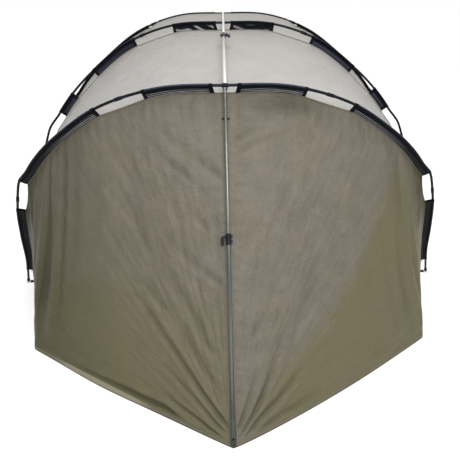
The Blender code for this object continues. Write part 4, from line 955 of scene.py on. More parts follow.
bayShape = {"columns": 170, "rows": 56, "sag": 0.016, "thickness": 0.001, "ripple": 0.0032, "streak": 0.0052,
            "gather": 0.0018, "slow": 0.004, "fine": 0.0018, "seamHalfGap": 0.0003, "stitchLift": 0.0008}
# near the crown the front bay's edge is turned over the front sleeve, so that only the pole's line shows
frontLap = {"inset": 0.0045, "off": 0.0112, "fromShare": 0.205, "toShare": 0.235}


def roofBay(name, node, rearName, frontName, side, seed, slant):
    rearEnd = lengthAtHeight(rearName, hoops[rearName]["depth"], wallShape["footHeight"])
    frontEnd = lengthAtHeight(frontName, hoops[frontName]["depth"], wallShape["footHeight"])
    shares = np.linspace(0, 1, bayShape["columns"])
    rearLengths = np.maximum(shares * rearEnd, bayShape["seamHalfGap"])
    start = hoopStations(rearName, side * rearLengths, seamInset(rearName, rearLengths))[0]
    frontLengths = np.maximum(shares * frontEnd, bayShape["seamHalfGap"])
    end, _, rearward = hoopStations(frontName, side * frontLengths, seamInset(frontName, frontLengths))
    lap = np.zeros(len(shares))
    if frontName == "front":
        span = frontLap["toShare"] - frontLap["fromShare"]
        lap = within((frontLap["toShare"] - frontLengths / hoopLength) / span)
        inset = hoops["front"]["depth"] + (frontLap["inset"] - hoops["front"]["depth"]) * lap
        end = hoopStations("front", side * frontLengths, inset)[0]
        end = end + rearward * (frontLap["off"] * lap)[:, None]
    t = np.linspace(0, 1, bayShape["rows"])
    base = start[None] + (end - start)[None] * t[:, None, None]
    normals = gridNormals(base)
    outwardGuess = base * (1, 0, 0) + np.array((0, 0, 0.7))
    normals *= np.sign((normals * outwardGuess).sum(axis=2, keepdims=True))
    s = shares[None, :] * np.ones((len(t), 1))
    r = t[:, None] * np.ones((1, len(shares)))
    held = within(r / 0.06) * within((1 - r) / 0.06) * within((1 - s) / 0.03)
    sag = -bayShape["sag"] * np.sin(np.pi * r) * (1 - s ** 4)
    # slack runs as slanting ripples from one hoop to the next
    lean = s * rearEnd * 17 + slant * r * 9
    ripple = np.sin(lean + 2.2 * noiseAt(base, 0.5, seed)) * (0.5 + 0.5 * noiseAt(base, 0.8, seed + 3))
    offset = sag + bayShape["ripple"] * ripple * np.sin(np.pi * r) * np.clip(1.3 - s, 0.2, 1)
    streaks = np.stack((s * rearEnd * 10 + slant * r * 5, s * rearEnd * 0.8, r * 0.8), -1)
    offset = offset + bayShape["streak"] * noiseAt(streaks, 0.42, seed + 9) * held * within(1.4 - s)
    pull = np.exp(-r / 0.06) + np.exp(-(1 - r) / 0.06)
    gather = np.sin(s * rearEnd * 80 + 3 * noiseAt(base, 0.13, seed + 5))
    offset = offset + bayShape["gather"] * pull * gather * held
    offset = offset + bayShape["slow"] * noiseAt(base, 0.35, seed + 1) * held
    offset = offset + bayShape["fine"] * noiseAt(base, 0.11, seed + 2) * held
    # both halves keep the plain sag at the seam, so that they meet there
    offset = sag + (offset - sag) * within(s * rearEnd / 0.06)
    points = base + normals * offset[..., None]
    points[:, 0, 0] = side * bayShape["seamHalfGap"]
    # painted shade: the roof is darkened low down where its sides turn from the top light, on the rear bays
    # towards the middle hoop, and on the front bays all over and most towards the front hoop
    low = within((1.0 - base[..., 2]) / 0.8)
    tint = (0.5 * r ** 1.5 if rearName == "rear" else 0.35 + 0.4 * r) + 0.6 * low
    tint = tint + 0.15 * noiseAt(base, 0.3, seed + 6)
    mesh = gridMesh(name, points, tint=tint)
    piece = addPiece(name, mesh, paintedLitRoofCloth, "tent", [node], bayShape["thickness"])
    declareCloth(base)
    for word, row in (("rear", 1), ("front", -2)):
        lifted = normals[row, 2:-2]
        stitchRow("%s_%s_stitches" % (name, word), points[row, 2:-2] + lifted * bayShape["stitchLift"],
                  lifted)


for side, word in bothSides:
    roofBay("rear_roof_" + word, "rear_bay_" + word, "rear", "middle", side, 11 + side, 1.0)
    roofBay("front_roof_" + word, "front_bay_" + word, "middle", "front", side, 17 + side, -1.0)
print("roof made")


# Hems on the ground

hemShape = {"step": 0.012, "thickness": 0.0012, "flare": {-1: 0.016, 1: 0.003}, "bead": 0.003, "off": 0.0004,
            "ripple": 0.001, "stitchLift": 0.0012, "flareAt": 0.62, "flareWidth": 0.24, "paintedHighlightMost": 0.8,
            "profile": ((0.0, 0.0306), (0.12, 0.026), (0.35, 0.019), (0.7, 0.0125), (0.92, 0.0085))}
sillShape = {"short": 0.005, "back": 0.001, "flare": 0.0014, "stations": 200}


def footPlan(hoopName, side):
    # where a hoop's seam line meets the top of the hem
    stop = lengthAtHeight(hoopName, hoops[hoopName]["depth"], hem["height"])
    return hoopStations(hoopName, [side * stop], hoops[hoopName]["depth"])[0][0]


def hemStrip(name, node, line, outward, flare, paintedHighlight=0.0):
    # a strip from the wall's lower edge to the ground that curls round a filler cord
    bead = hemShape["bead"]
    off = hemShape["off"]
    profile = hemShape["profile"]
    ripple = noiseAt(line, 0.05, 21)
    curl = np.radians(np.linspace(70, -200, 10))
    rows = []
    for share, height in profile:
        out = flare * share + hemShape["ripple"] * ripple * share + off
        rows.append(line * (1, 1, 0) + outward * out[:, None] + np.array((0, 0, height)))
    for angle in curl:
        out = flare + off + bead * (math.cos(angle) - 0.3)
        height = bead * 1.35 + bead * math.sin(angle)
        rows.append(line * (1, 1, 0) + outward * out[:, None] + np.array((0, 0, height)))
    points = np.array(rows)
    # painted shade on the rolled bead at the ground, and a little where the strip turns into it
    shade = np.zeros(points.shape[:2])
    shade[len(profile):] = 0.75
    shade[len(profile) - 1] = 0.2
    # painted highlight on the flared strip
    tint = np.zeros(points.shape[:2])
    tint[:len(profile) + 2] = paintedHighlight
    mesh = gridMesh(name, points, tint=tint, shade=shade)
    piece = addPiece(name, mesh, hemCloth, "tent", [node], hemShape["thickness"])
    declareCloth(points)
    stitchRow(name + "_stitches", points[2] + outward * hemShape["stitchLift"], outward)


def sideHem(side, word):
    feet = [footPlan(name, side) for name in ("front", "middle", "rear")]
    corners = np.vstack((feet[:2], groundLine(side, np.linspace(1, 0, 120))))
    reach = reachAlong(corners)
    at = stationsBetween(0, reach[-1], hemShape["step"])
    line = pointsAt(at, reach, corners)
    line[:, 2] = 0
    along = unitRows(np.gradient(line, axis=0))
    outward = np.cross(along, (0, 0, 1)) * (1 if side < 0 else -1)
    outward *= np.sign((outward * (side, 0, 0)).sum(axis=1).mean())
    # the hem stands out most between the corner and the rear tip
    fromTip = (at[-1] - at) / 1.5
    wide = hump(fromTip, hemShape["flareAt"], hemShape["flareWidth"]) * (at > 1.0)
    flare = 0.0012 + hemShape["flare"][side] * wide
    flare[-6:] = np.linspace(flare[-6], 0.0003, 6)
    # painted highlight where the left hem flares up towards the top light
    paintedHighlight = hemShape["paintedHighlightMost"] * within(wide * 4 - 1.2) if side < 0 else 0.0
    hemStrip("hem_strip_" + word, "hem_" + word, line, outward, flare, paintedHighlight)


def sillHem():
    count = sillShape["stations"]
    foot = footPlan("front", 1)
    line = np.stack((np.linspace(-foot[0] + sillShape["short"], foot[0] - sillShape["short"], count),
                     np.full(count, foot[1] - sillShape["back"]), np.zeros(count)), -1)
    outward = np.broadcast_to(np.array((0, 1.0, 0)), line.shape)
    hemStrip("sill_strip", "hem_front", line, outward, np.full(count, sillShape["flare"]))


for side, word in bothSides:
    sideHem(side, word)
sillHem()
print("hems made")


# Groundsheet

groundShape = {"rows": 90, "columns": 60, "inset": 0.006, "tipInset": 0.008, "tipHalf": 0.003,
               "height": 0.0018, "thickness": 0.001, "ripple": 0.0006, "crumple": 0.0003}


def groundsheet():
    ends = groundLine(1, np.array([wallShape["cornerShare"], 0.0]), bulged=False)
    sideLine = np.vstack([footPlan(name, 1) for name in ("front", "middle", "rear")] + [ends])
    order = np.argsort(sideLine[:, 1])
    yValues = np.linspace(hem["tipY"] + groundShape["tipInset"],
                          sideLine[:, 1].max() - groundShape["inset"], groundShape["rows"])
    half = np.interp(yValues, sideLine[order, 1], sideLine[order, 0]) - groundShape["inset"]
    half = np.maximum(half, groundShape["tipHalf"])
    across = np.linspace(-1, 1, groundShape["columns"])
    points = np.zeros((len(yValues), len(across), 3))
    points[..., 0] = half[:, None] * across[None]
    points[..., 1] = yValues[:, None]
    points[..., 2] = groundShape["height"]
    slow = groundShape["ripple"] * noiseAt(points, 0.2, 31)
    points[..., 2] += slow + groundShape["crumple"] * noiseAt(points, 0.06, 32)
    mesh = gridMesh("groundsheet_cloth", points)
    piece = addPiece("groundsheet_cloth", mesh, sheetCloth, "tent", ["groundsheet"],
                     groundShape["thickness"])
    declareCloth(points)


groundsheet()
print("groundsheet made")


# Foot rings and the straps that hold them

ringLook = {"wire": 0.00175, "radius": 0.015, "barOffset": 0.0165, "height": 0.00375, "corner": 0.003,
            "strapHalf": 0.0115, "strapLayer": 0.0012}


def footRing(hoopName, side, word):
    # a wire bow closed by a straight bar
    foot = hoopStations(hoopName, [side * hoopLength])[0][0]
    bar = -side * ringLook["barOffset"]
    size = ringLook["radius"]
    corner = ringLook["corner"]
    path = []
    for angle in np.linspace(math.pi / 2, -math.pi / 2, 24):
        path.append((side * size * math.cos(angle), size * math.sin(angle)))
    for sign in (-1, 1):
        # small bends where the bow meets the bar
        for angle in np.linspace(0, math.pi / 2, 6):
            turn = angle if sign < 0 else math.pi / 2 - angle
            across = sign * (size - corner * (1 - math.cos(turn)))
            path.append((bar + side * corner * (1 - math.sin(turn)), across))
    path = np.array([(foot[0] + x, foot[1] + y, ringLook["height"]) for x, y in path])
    name = "d_ring_%s_%s" % (hoopName, word)
    mesh = planeTube(name, path, (0, 0, 1), ringLook["wire"], sides=14, closed=True)
    addPiece(name, mesh, platedSteel, "tent", ["foot_ring_%s_%s" % (hoopName, word)])


def footStrap(hoopName, side, word):
    # webbing from the hem, round the ring's straight bar and back on itself
    foot = hoopStations(hoopName, [side * hoopLength])[0][0]
    hemX = footPlan(hoopName, side)[0]
    bar = foot[0] - side * ringLook["barOffset"]
    loop = ringLook["wire"] + ringLook["strapLayer"] * 0.75
    reach = abs(bar) - abs(hemX) + 0.004
    path = [(-reach, -loop * 0.45), (-reach * 0.5, -loop * 0.8)]
    path += [(loop * math.cos(a), loop * math.sin(a)) for a in np.radians(np.linspace(-110, 110, 16))]
    path += [(-reach * 0.5, loop * 1.2), (-reach, loop * 1.6)]
    across = np.linspace(-ringLook["strapHalf"], ringLook["strapHalf"], 9)
    points = np.array([[(bar + side * x, foot[1] + y, ringLook["height"] + z) for y in across]
                       for x, z in path])
    name = "foot_strap_%s_%s" % (hoopName, word)
    mesh = gridMesh(name, points)
    addPiece(name, mesh, webbing, "tent", ["hem_" + word], ringLook["strapLayer"] * 0.9)


for hoopName in hoops:
    for side, word in bothSides:
        footRing(hoopName, side, word)
        footStrap(hoopName, side, word)
print("feet made")


# Front wall, in the plane of the front hoop

frontShape = {"sill": 0.03483, "doorBottom": 0.46, "doorTop": 0.36, "doorHeight": 1.48, "zipWidth": 0.024,
              "headerHalf": 0.42, "trim": 0.0193, "thickness": 0.0011, "windowCorner": 0.05,
              "window": ((0.43, 0.34), (0.8, 0.34), (0.715, 0.665), (0.43, 0.76)), "zipGap": 0.0006,
              "edgeGap": 0.0004}


def frontPlace(flat, out=0.0):
    # flat places in the front hoop's plane, out metres in front of it
    lean = math.radians(hoops["front"]["lean"])
    flat = np.asarray(flat, float)
    x, y = flat[..., 0], flat[..., 1]
    up = np.stack((x, hoops["front"]["footY"] - y * math.sin(lean), y * math.cos(lean)), -1)
    normal = np.array((0, math.cos(lean), math.sin(lean)))
    return up + normal * (np.asarray(out)[..., None] if np.ndim(out) else out)


frontNormal = frontPlace(np.zeros(2), 1.0) - frontPlace(np.zeros(2), 0.0)
frontCurve = flatStations(np.linspace(-hoopLength, hoopLength, 1200), frontShape["trim"])[0]


def doorHalf(height):
    share = (height - frontShape["sill"]) / (frontShape["doorHeight"] - frontShape["sill"])
    return frontShape["doorBottom"] + (frontShape["doorTop"] - frontShape["doorBottom"]) * share


def roundedOutline(corners, radius, steps=8):
    corners = [np.array(c, float) for c in corners]
    points = []
    for i, corner in enumerate(corners):
        before = corners[i - 1] - corner
        after = corners[(i + 1) % len(corners)] - corner
        before /= np.linalg.norm(before)
        after /= np.linalg.norm(after)
        half = math.acos(float(before @ after)) / 2
        middle = corner + (before + after) / np.linalg.norm(before + after) * radius / math.sin(half)
        first = corner + before * radius / math.tan(half) - middle
        second = corner + after * radius / math.tan(half) - middle
        start = math.atan2(first[1], first[0])
        turn = (math.atan2(second[1], second[0]) - start + math.pi) % math.tau - math.pi
        for k in range(steps + 1):
            angle = start + turn * k / steps
            points.append(middle + radius * np.array((math.cos(angle), math.sin(angle))))
    return np.array(points)


def rayOutline(outline, centre, angles):
    # where rays from a centre meet a closed outline
    first = outline - centre
    edge = np.roll(outline, -1, axis=0) - outline
    found = []
    for angle in angles:
        direction = np.array((math.cos(angle), math.sin(angle)))
        bottom = direction[0] * edge[:, 1] - direction[1] * edge[:, 0]
        bottom = np.where(np.abs(bottom) < 1e-12, 1e-12, bottom)
        reach = (first[:, 0] * edge[:, 1] - first[:, 1] * edge[:, 0]) / bottom
        share = (first[:, 0] * direction[1] - first[:, 1] * direction[0]) / bottom
        good = (share >= -1e-9) & (share <= 1 + 1e-9) & (reach > 0)
        found.append(centre + direction * reach[good].max())
    return np.array(found)


windowCorners = [(x * hoopShape["halfWidth"], y * hoopShape["height"]) for x, y in frontShape["window"]]
windowOutline = roundedOutline(windowCorners, frontShape["windowCorner"])
windowCentre = windowOutline.mean(axis=0)


def grownOutline(outline, distance):
    # the outline moved outwards, away from the window's centre
    along = unitRows(np.roll(outline, -1, axis=0) - np.roll(outline, 1, axis=0))
    normal = np.stack((along[:, 1], -along[:, 0]), -1)
    normal *= np.sign((normal * (outline - windowCentre)).sum())
    return outline + normal * distance


# depths in metres of the front panels' slack, and of the folds that the windows pull into them
frontFolds = {"slow": 0.0035, "fine": 0.0015, "pull": 0.0022, "pulls": 31, "sag": 0.006}


def frontWall(side, word):
    sill, top, half = frontShape["sill"], frontShape["doorHeight"], frontShape["headerHalf"]
    inner = frontShape["zipWidth"] + frontShape["zipGap"]
    curve = frontCurve[(frontCurve[:, 0] > half) & (frontCurve[:, 1] > sill)]
    curve = curve[np.argsort(curve[:, 1])]
    outline = np.vstack(([[doorHalf(sill) + inner, sill]], [[curve[0, 0], sill]], curve,
                         [[half, curve[-1, 1]], [half, top], [doorHalf(top) + inner, top]]))
    corners = outline[[0, 1, -3, -2, -1]] - windowCentre
    angles = np.concatenate((np.linspace(-math.pi, math.pi, 220, endpoint=False),
                             np.arctan2(corners[:, 1], corners[:, 0])))
    angles = np.array(sorted(set(np.round(angles, 6))))
    outer = rayOutline(outline, windowCentre, angles)
    opening = rayOutline(windowOutline, windowCentre, angles)
    r = np.linspace(0, 1, 26)[:, None] * np.ones((1, len(angles)))
    flat = outer[None] + (opening - outer)[None] * r[..., None]
    base = frontPlace(flat * (side, 1))
    edge = within(r / 0.12) * within((1 - r) / 0.12)
    out = frontFolds["slow"] * noiseAt(base, 0.3, 41 + side)
    out = out + frontFolds["fine"] * noiseAt(base, 0.09, 45 + side)
    pull = np.sin(angles * frontFolds["pulls"] + 2 * noiseAt(base, 0.3, 47))
    out = out + frontFolds["pull"] * pull * np.exp(-(1 - r) / 0.25)
    out = out - frontFolds["sag"] * np.sin(np.pi * r)
    points = frontPlace(flat * (side, 1), out * edge)
    tint = within((0.9 - flat[..., 1]) / 0.9) * 0.7 + 0.15 * noiseAt(base, 0.3, 49)
    mesh = gridMesh("front_panel_" + word, points, wrap=True, tint=tint, shade=tint * 0)
    piece = addPiece("front_panel_" + word, mesh, flyCloth, "tent", ["front_wall_" + word],
                     frontShape["thickness"])
    size = outline.max(axis=0) - outline.min(axis=0)
    declareCloth(closedRound(base), (float(size[0]), float(size[1])))
    windowPane(side, word)


# the film reaches under the cloth round the opening; the binding is a profile of growth and rise
windowLook = {"lap": 0.006, "filmBack": 0.0012, "filmThickness": 0.0006, "filmWave": 0.004, "filmSag": 0.003,
              "bindingThickness": 0.0008, "stitchOff": 0.0029,
              "stitchRows": (("outer", 0.0085), ("inner", -0.0015)),
              "binding": ((0.011, 0.0006), (0.0105, 0.0016), (0.008, 0.0021), (0.002, 0.0022),
                          (-0.003, 0.0021), (-0.005, 0.0014), (-0.0055, 0.0), (-0.005, -0.0008))}


def windowPane(side, word):
    # clear film sewn behind the opening, and a crowned binding round its edge
    shares = np.linspace(0.02, 1, 12)
    edge = grownOutline(windowOutline, windowLook["lap"]) - windowCentre
    flat = np.array([windowCentre + edge * share for share in shares]) * (side, 1)
    reach = shares[:, None] * np.ones((1, flat.shape[1]))
    base = frontPlace(flat)
    wave = windowLook["filmWave"] * noiseAt(base, 0.25, 51 + side) - windowLook["filmSag"]
    points = frontPlace(flat, -windowLook["filmBack"] + wave * np.sin(np.pi * reach))
    name = "window_film_" + word
    mesh = gridMesh(name, points, wrap=True)
    closeEnds(mesh, (0,), points.shape[1])
    film = addPiece(name, mesh, clearFilm, "tent", ["window_pane_" + word],
                    windowLook["filmThickness"])
    size = windowOutline.max(axis=0) - windowOutline.min(axis=0) + 2 * windowLook["lap"]
    declareCloth(closedRound(points),
                 (float(size[0]), float(size[1])))
    strip = np.array([frontPlace(grownOutline(windowOutline, grow) * (side, 1),
                                 np.full(len(windowOutline), rise)) for grow, rise in windowLook["binding"]])
    name = "window_binding_" + word
    mesh = gridMesh(name, strip, wrap=True, shade=np.full(strip.shape[:2], 0.35))
    binding = addPiece(name, mesh, hemCloth, "tent", (), windowLook["bindingThickness"])
    declareCloth(closedRound(strip))
    for label, grow in windowLook["stitchRows"]:
        row = grownOutline(windowOutline, grow)
        row = np.vstack((row, row[:1])) * (side, 1)
        stitchRow("window_stitches_%s_%s" % (label, word), frontPlace(row, windowLook["stitchOff"]),
                  frontNormal)


headerLook = {"rows": 30, "columns": 90, "wave": 0.003, "sag": 0.003, "stitchHalf": 0.4, "stitchUp": 0.01,
              "stitchOff": 0.0012}


def header():
    rows, columns = headerLook["rows"], headerLook["columns"]
    half = frontShape["headerHalf"] - frontShape["edgeGap"]
    xValues = np.linspace(-half, half, columns)
    order = np.argsort(frontCurve[:, 0])
    top = np.interp(xValues, frontCurve[order, 0], frontCurve[order, 1])
    t = np.linspace(0, 1, rows)[:, None]
    flat = np.zeros((rows, columns, 2))
    flat[..., 0] = xValues
    bottom = frontShape["doorHeight"] + frontShape["edgeGap"]
    flat[..., 1] = bottom + (top - bottom) * t
    base = frontPlace(flat)
    share = np.abs(flat[..., 0]) / frontShape["headerHalf"]
    edge = within(t / 0.1) * within((1 - t) / 0.1) * within((1 - share) / 0.1)
    points = frontPlace(flat, (headerLook["wave"] * noiseAt(base, 0.2, 61) - headerLook["sag"]) * edge)
    tint = 0.2 + 0.15 * noiseAt(base, 0.3, 62)
    mesh = gridMesh("header_cloth", points, tint=tint, shade=tint * 0)
    piece = addPiece("header_cloth", mesh, flyCloth, "tent", ["front_header"],
                     frontShape["thickness"])
    declareCloth(base)
    across = np.linspace(-headerLook["stitchHalf"], headerLook["stitchHalf"], 60)
    row = np.stack((across, np.full(60, bottom + headerLook["stitchUp"])), -1)
    stitchRow("header_stitches", frontPlace(row, headerLook["stitchOff"]), frontNormal)


doorLook = {"rows": 110, "columns": 70, "sideEdges": (-0.965, -0.955, 0.955, 0.965),
            "sillEdges": (0.018, 0.021), "slow": 0.005, "fine": 0.002, "sag": 0.004, "slant": 0.002,
            "border": 0.02, "borderRise": 0.0009, "stitchIn": 0.017, "stitchUp": 0.016,
            "stitchHalf": 0.43, "stitchOff": 0.0018}


def door():
    bottom = frontShape["sill"] + frontShape["edgeGap"]
    y = np.linspace(bottom, frontShape["doorHeight"], doorLook["rows"])
    x = np.linspace(-1, 1, doorLook["columns"])
    # extra columns and rows mark the turned and stitched border
    x = np.sort(np.concatenate((x, doorLook["sideEdges"])))
    y = np.sort(np.concatenate((y, [bottom + rise for rise in doorLook["sillEdges"]])))
    flat = np.zeros((len(y), len(x), 2))
    flat[..., 0] = doorHalf(y)[:, None] * x[None]
    flat[..., 1] = y[:, None]
    base = frontPlace(flat)
    fromSide = (1 - np.abs(x))[None, :] * doorHalf(y)[:, None]
    fromBottom = (y - bottom)[:, None] * np.ones((1, len(x)))
    fromTop = (frontShape["doorHeight"] - y)[:, None] * np.ones((1, len(x)))
    inward = np.minimum(np.minimum(fromSide, fromBottom), fromTop)
    border = within((doorLook["border"] - inward) / 0.002)
    soft = within(inward / 0.12)
    slow = doorLook["slow"] * noiseAt(base, 0.35, 71)
    fine = doorLook["fine"] * noiseAt(base, 0.1, 72)
    out = doorLook["borderRise"] * border + soft * (slow + fine - doorLook["sag"])
    # faint slanting folds across the panel
    slant = np.sin((flat[..., 0] * 14 + flat[..., 1] * 9) + 2 * noiseAt(base, 0.4, 73))
    out = out + soft * doorLook["slant"] * slant
    points = frontPlace(flat, out)
    tint = within((0.9 - flat[..., 1]) / 0.9) * 0.7 + 0.15 * noiseAt(base, 0.3, 74)
    mesh = gridMesh("door_cloth", points, tint=tint, shade=0.12 * border)
    piece = addPiece("door_cloth", mesh, flyCloth, "door", ["door_panel"],
                     frontShape["thickness"])
    declareCloth(base)
    for side, word in bothSides:
        row = np.stack((side * (doorHalf(y) - doorLook["stitchIn"]), y), -1)[3:-3]
        stitchRow("door_stitches_" + word, frontPlace(row, doorLook["stitchOff"]), frontNormal, body="door")
    across = np.linspace(-doorLook["stitchHalf"], doorLook["stitchHalf"], 80)
    row = np.stack((across, np.full(80, bottom + doorLook["stitchUp"])), -1)
    stitchRow("door_stitches_bottom", frontPlace(row, doorLook["stitchOff"]), frontNormal, body="door")


# the tape's profile is places across it, as shares of its half width, with their rise
zipShape = {"tapeHalf": 0.0117, "pitch": 0.004, "coilHalf": 0.0027, "coilRise": 0.0013, "coilOff": 0.0023,
            "wire": 0.00055, "turnSteps": 10, "wireSides": 5, "endGap": 0.004, "sideGap": 0.0003,
            "thickness": 0.0008, "profile": ((-1, -0.0002), (-0.96, 0.0), (-0.4, 0.0002), (-0.16, 0.0005),
                                             (0.16, 0.0005), (0.4, 0.0002), (0.96, 0.0), (1, -0.0002))}


def zipLine(side, word):
    # two tapes with the coil between them, drawn with fewer turns than a real size 5 coil
    bottom, top = frontShape["sill"] + zipShape["endGap"], frontShape["doorHeight"] - zipShape["endGap"]
    half = frontShape["zipWidth"] / 2 + zipShape["sideGap"]
    y = np.linspace(bottom, top, 120)
    centre = np.stack((side * (doorHalf(y) + half), y), -1)
    x, rise = np.array(zipShape["profile"]).T
    x = x * zipShape["tapeHalf"]
    flat = centre[:, None, :] + np.stack((x, np.zeros(len(x))), -1)[None]
    points = frontPlace(flat, np.broadcast_to(rise, flat.shape[:2]))
    mesh = gridMesh("zip_tape_" + word, points)
    piece = addPiece("zip_tape_" + word, mesh, zipTape, "tent", ["door_zip_" + word],
                     zipShape["thickness"])
    declareCloth(points)
    turns = int((top - bottom) / zipShape["pitch"])
    angle = np.arange(turns * zipShape["turnSteps"] + 1) / zipShape["turnSteps"] * math.tau
    yCoil = bottom + angle / math.tau * zipShape["pitch"]
    flatCoil = np.stack((side * (doorHalf(yCoil) + half) + zipShape["coilHalf"] * np.cos(angle), yCoil), -1)
    path = frontPlace(flatCoil, zipShape["coilOff"] + zipShape["coilRise"] * np.sin(angle))
    along = unitRows(np.gradient(path, axis=0))
    over = unitRows(np.cross(along, frontNormal))
    radii = np.full(len(path), zipShape["wire"])
    mesh = tubeMesh("zip_coil_" + word, path, over, np.cross(over, along), radii, zipShape["wireSides"])
    addPiece("zip_coil_" + word, mesh, nylon, "tent", ["door_zip_" + word])


for side, word in bothSides:
    frontWall(side, word)
    zipLine(side, word)
header()
door()
print("front made")


# Prop and ridge

# places along the poles are lengths from the rear hoop's crown
propLook = {"upperRadius": 0.008, "lowerRadius": 0.009793, "upperFrom": 0.0294, "upperTo": 1.096,
            "lowerFrom": 0.7975, "lowerShort": 0.0055, "lock": 0.797, "capRadius": 0.0122, "capLength": 0.03,
            "footY": -1.4994, "footZ": 0.0457}
ridgeLook = {"lock": 0.905, "overlap": 0.17, "overMiddle": 0.0168, "bendRadius": 0.15, "tubeStart": 0.0294,
             "straight": 0.02}
tubeEnd = {"chamfer": 0.001, "drop": 0.0007}
crowns = {hoopName: hoopStations(hoopName, [0.0])[0][0] for hoopName in hoops}
propFoot = np.array((0, propLook["footY"], propLook["footZ"]))
propLength = float(np.linalg.norm(propFoot - crowns["rear"]))
downProp = (propFoot - crowns["rear"]) / propLength
ridgeOver = crowns["middle"] + np.array((0, 0, ridgeLook["overMiddle"]))
alongRidge = (ridgeOver - crowns["rear"]) / np.linalg.norm(ridgeOver - crowns["rear"])


def straightTube(name, start, direction, lengths, radii, material, body, nodes):
    places = start + np.asarray(lengths)[:, None] * direction
    mesh = planeTube(name, places, (1, 0, 0), radii, sides=36)
    addPiece(name, mesh, material, body, nodes)


def chamferedTube(name, start, direction, ends, radius, chamfer, drop, material, body, nodes):
    lengths = (ends[0], ends[0] + chamfer, ends[1] - chamfer, ends[1])
    radii = (radius - drop, radius, radius, radius - drop)
    straightTube(name, start, direction, lengths, radii, material, body, nodes)


def rearProp():
    top = crowns["rear"]
    chamferedTube("prop_inner_pole", top, downProp, (propLook["upperFrom"], propLook["upperTo"]),
                  propLook["upperRadius"], tubeEnd["chamfer"], tubeEnd["drop"], greyTube,
                  "rear_prop", ["prop_upper_tube"])
    radius = propLook["lowerRadius"]
    start = propLook["lowerFrom"]
    lengths = (start, start + 0.0012, start + 0.0024, propLength - propLook["lowerShort"])
    radii = (radius - 0.0009, radius - 0.0001, radius, radius)
    straightTube("prop_outer_pole", top, downProp, lengths, radii, darkTube, "prop_leg",
                 ["prop_lower_tube"])
    # the foot: a lip, a groove and a round end
    cap = propLook["capRadius"]
    start = propLength - propLook["capLength"]
    lengths = [start + step for step in (0, 0.0004, 0.0016, 0.004, 0.0048, 0.0062, 0.007)] + [propLength]
    radii = [radius + 0.0006, cap - 0.0012, cap - 0.0001, cap, cap - 0.0007, cap - 0.0007, cap, cap]
    for angle in np.linspace(0, math.pi / 2, 10)[1:]:
        lengths.append(propLength + (cap - 0.0002) * math.sin(angle))
        radii.append(max(cap * math.cos(angle), poleLook["tipRadius"]))
    straightTube("prop_ball_foot", top, downProp, lengths, radii, footRubber, "prop_leg",
                 ["prop_foot_cap"])


def ridgePole():
    rear, front = crowns["rear"], crowns["front"]
    chamferedTube("ridge_outer_pole", rear, alongRidge, (ridgeLook["tubeStart"], ridgeLook["lock"]),
                  propLook["lowerRadius"], tubeEnd["chamfer"], tubeEnd["drop"], silverTube,
                  "ridge_slider", ["ridge_rear_tube"])
    # the inner pole bends in an arc over the middle hoop
    back = -alongRidge
    ahead = (front - ridgeOver) / np.linalg.norm(front - ridgeOver)
    bend = ridgeLook["bendRadius"]
    half = math.acos(float(back @ ahead)) / 2
    bisector = (back + ahead) / np.linalg.norm(back + ahead)
    centre = ridgeOver + bisector * bend / math.sin(half)
    reach = bend / math.tan(half)
    first = ridgeOver + back * reach - centre
    last = ridgeOver + ahead * reach - centre
    turn = math.acos(float(np.clip(first @ last / bend ** 2, -1, 1)))
    path = [rear - back * (ridgeLook["lock"] - ridgeLook["overlap"]),
            ridgeOver + back * (reach + ridgeLook["straight"])]
    for share in np.linspace(0, 1, 12):
        weightA = math.sin((1 - share) * turn) / math.sin(turn)
        weightB = math.sin(share * turn) / math.sin(turn)
        path.append(centre + first * weightA + last * weightB)
    path += [ridgeOver + ahead * (reach + ridgeLook["straight"]), front - ahead * ridgeLook["tubeStart"]]
    mesh = planeTube("ridge_inner_pole", path, (1, 0, 0), propLook["upperRadius"], sides=36)
    addPiece("ridge_inner_pole", mesh, silverTube, "tent", ["ridge_front_tube"])


rearProp()
ridgePole()
print("prop and ridge made")


# Moulded fittings and sliders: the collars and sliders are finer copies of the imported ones

fittingLook = {"bevel": 0.0007, "sharp": 34.0, "merge": 0.00003}


def finishedCopy(name, node, body, material):
    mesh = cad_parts[node].data.copy()
    mesh.materials.clear()
    shape = bmesh.new()
    shape.from_mesh(mesh)
    bmesh.ops.remove_doubles(shape, verts=shape.verts, dist=fittingLook["merge"])
    bmesh.ops.dissolve_limit(shape, angle_limit=math.radians(1), verts=shape.verts, edges=shape.edges)
    saveShape(shape, mesh)
    mesh.set_sharp_from_angle(angle=math.radians(fittingLook["sharp"]))
    piece = addPiece(name, mesh, material, body, [node])
    roundEdges(piece, fittingLook["bevel"], 2, fittingLook["sharp"])


finishedCopy("prop_clamp_collar", "prop_lock_collar", "prop_leg", collarNylon)
finishedCopy("ridge_clamp_collar", "ridge_lock_collar", "ridge_slider", collarNylon)

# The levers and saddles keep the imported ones' place, with a broader grip and slimmer arms
leverLook = {"arc": 0.018, "band": 0.0088, "grip": 0.0185, "tail": 0.030, "thickness": 0.011, "eye": 0.0042,
             "pinOut": 0.01985, "pinBack": 0.0045, "bevel": 0.0012, "lift": 0.003}
saddleLook = {"halfLength": 0.0165, "inner": 0.0086, "wall": 0.0016, "halfArc": 54.0, "armTop": 0.0098,
              "armFoot": 0.0290, "armInset": 0.0015, "armWidth": 0.0074, "armThickness": 0.007,
              "socketFrom": 0.0245, "socketTo": 0.0405, "socketWall": 0.0016, "socketChamfer": 0.0008,
              "bevel": 0.0006}
mouldedSharp = 40.0  # degrees, an edge sharper than this is rounded


def memberFrame(start, along):
    # X across the tent, Z along the pole
    along = Vector(along).normalized()
    across = Vector((1, 0, 0))
    turn = Matrix((across, along.cross(across), along)).transposed().to_4x4()
    return Matrix.Translation(Vector(start)) @ turn


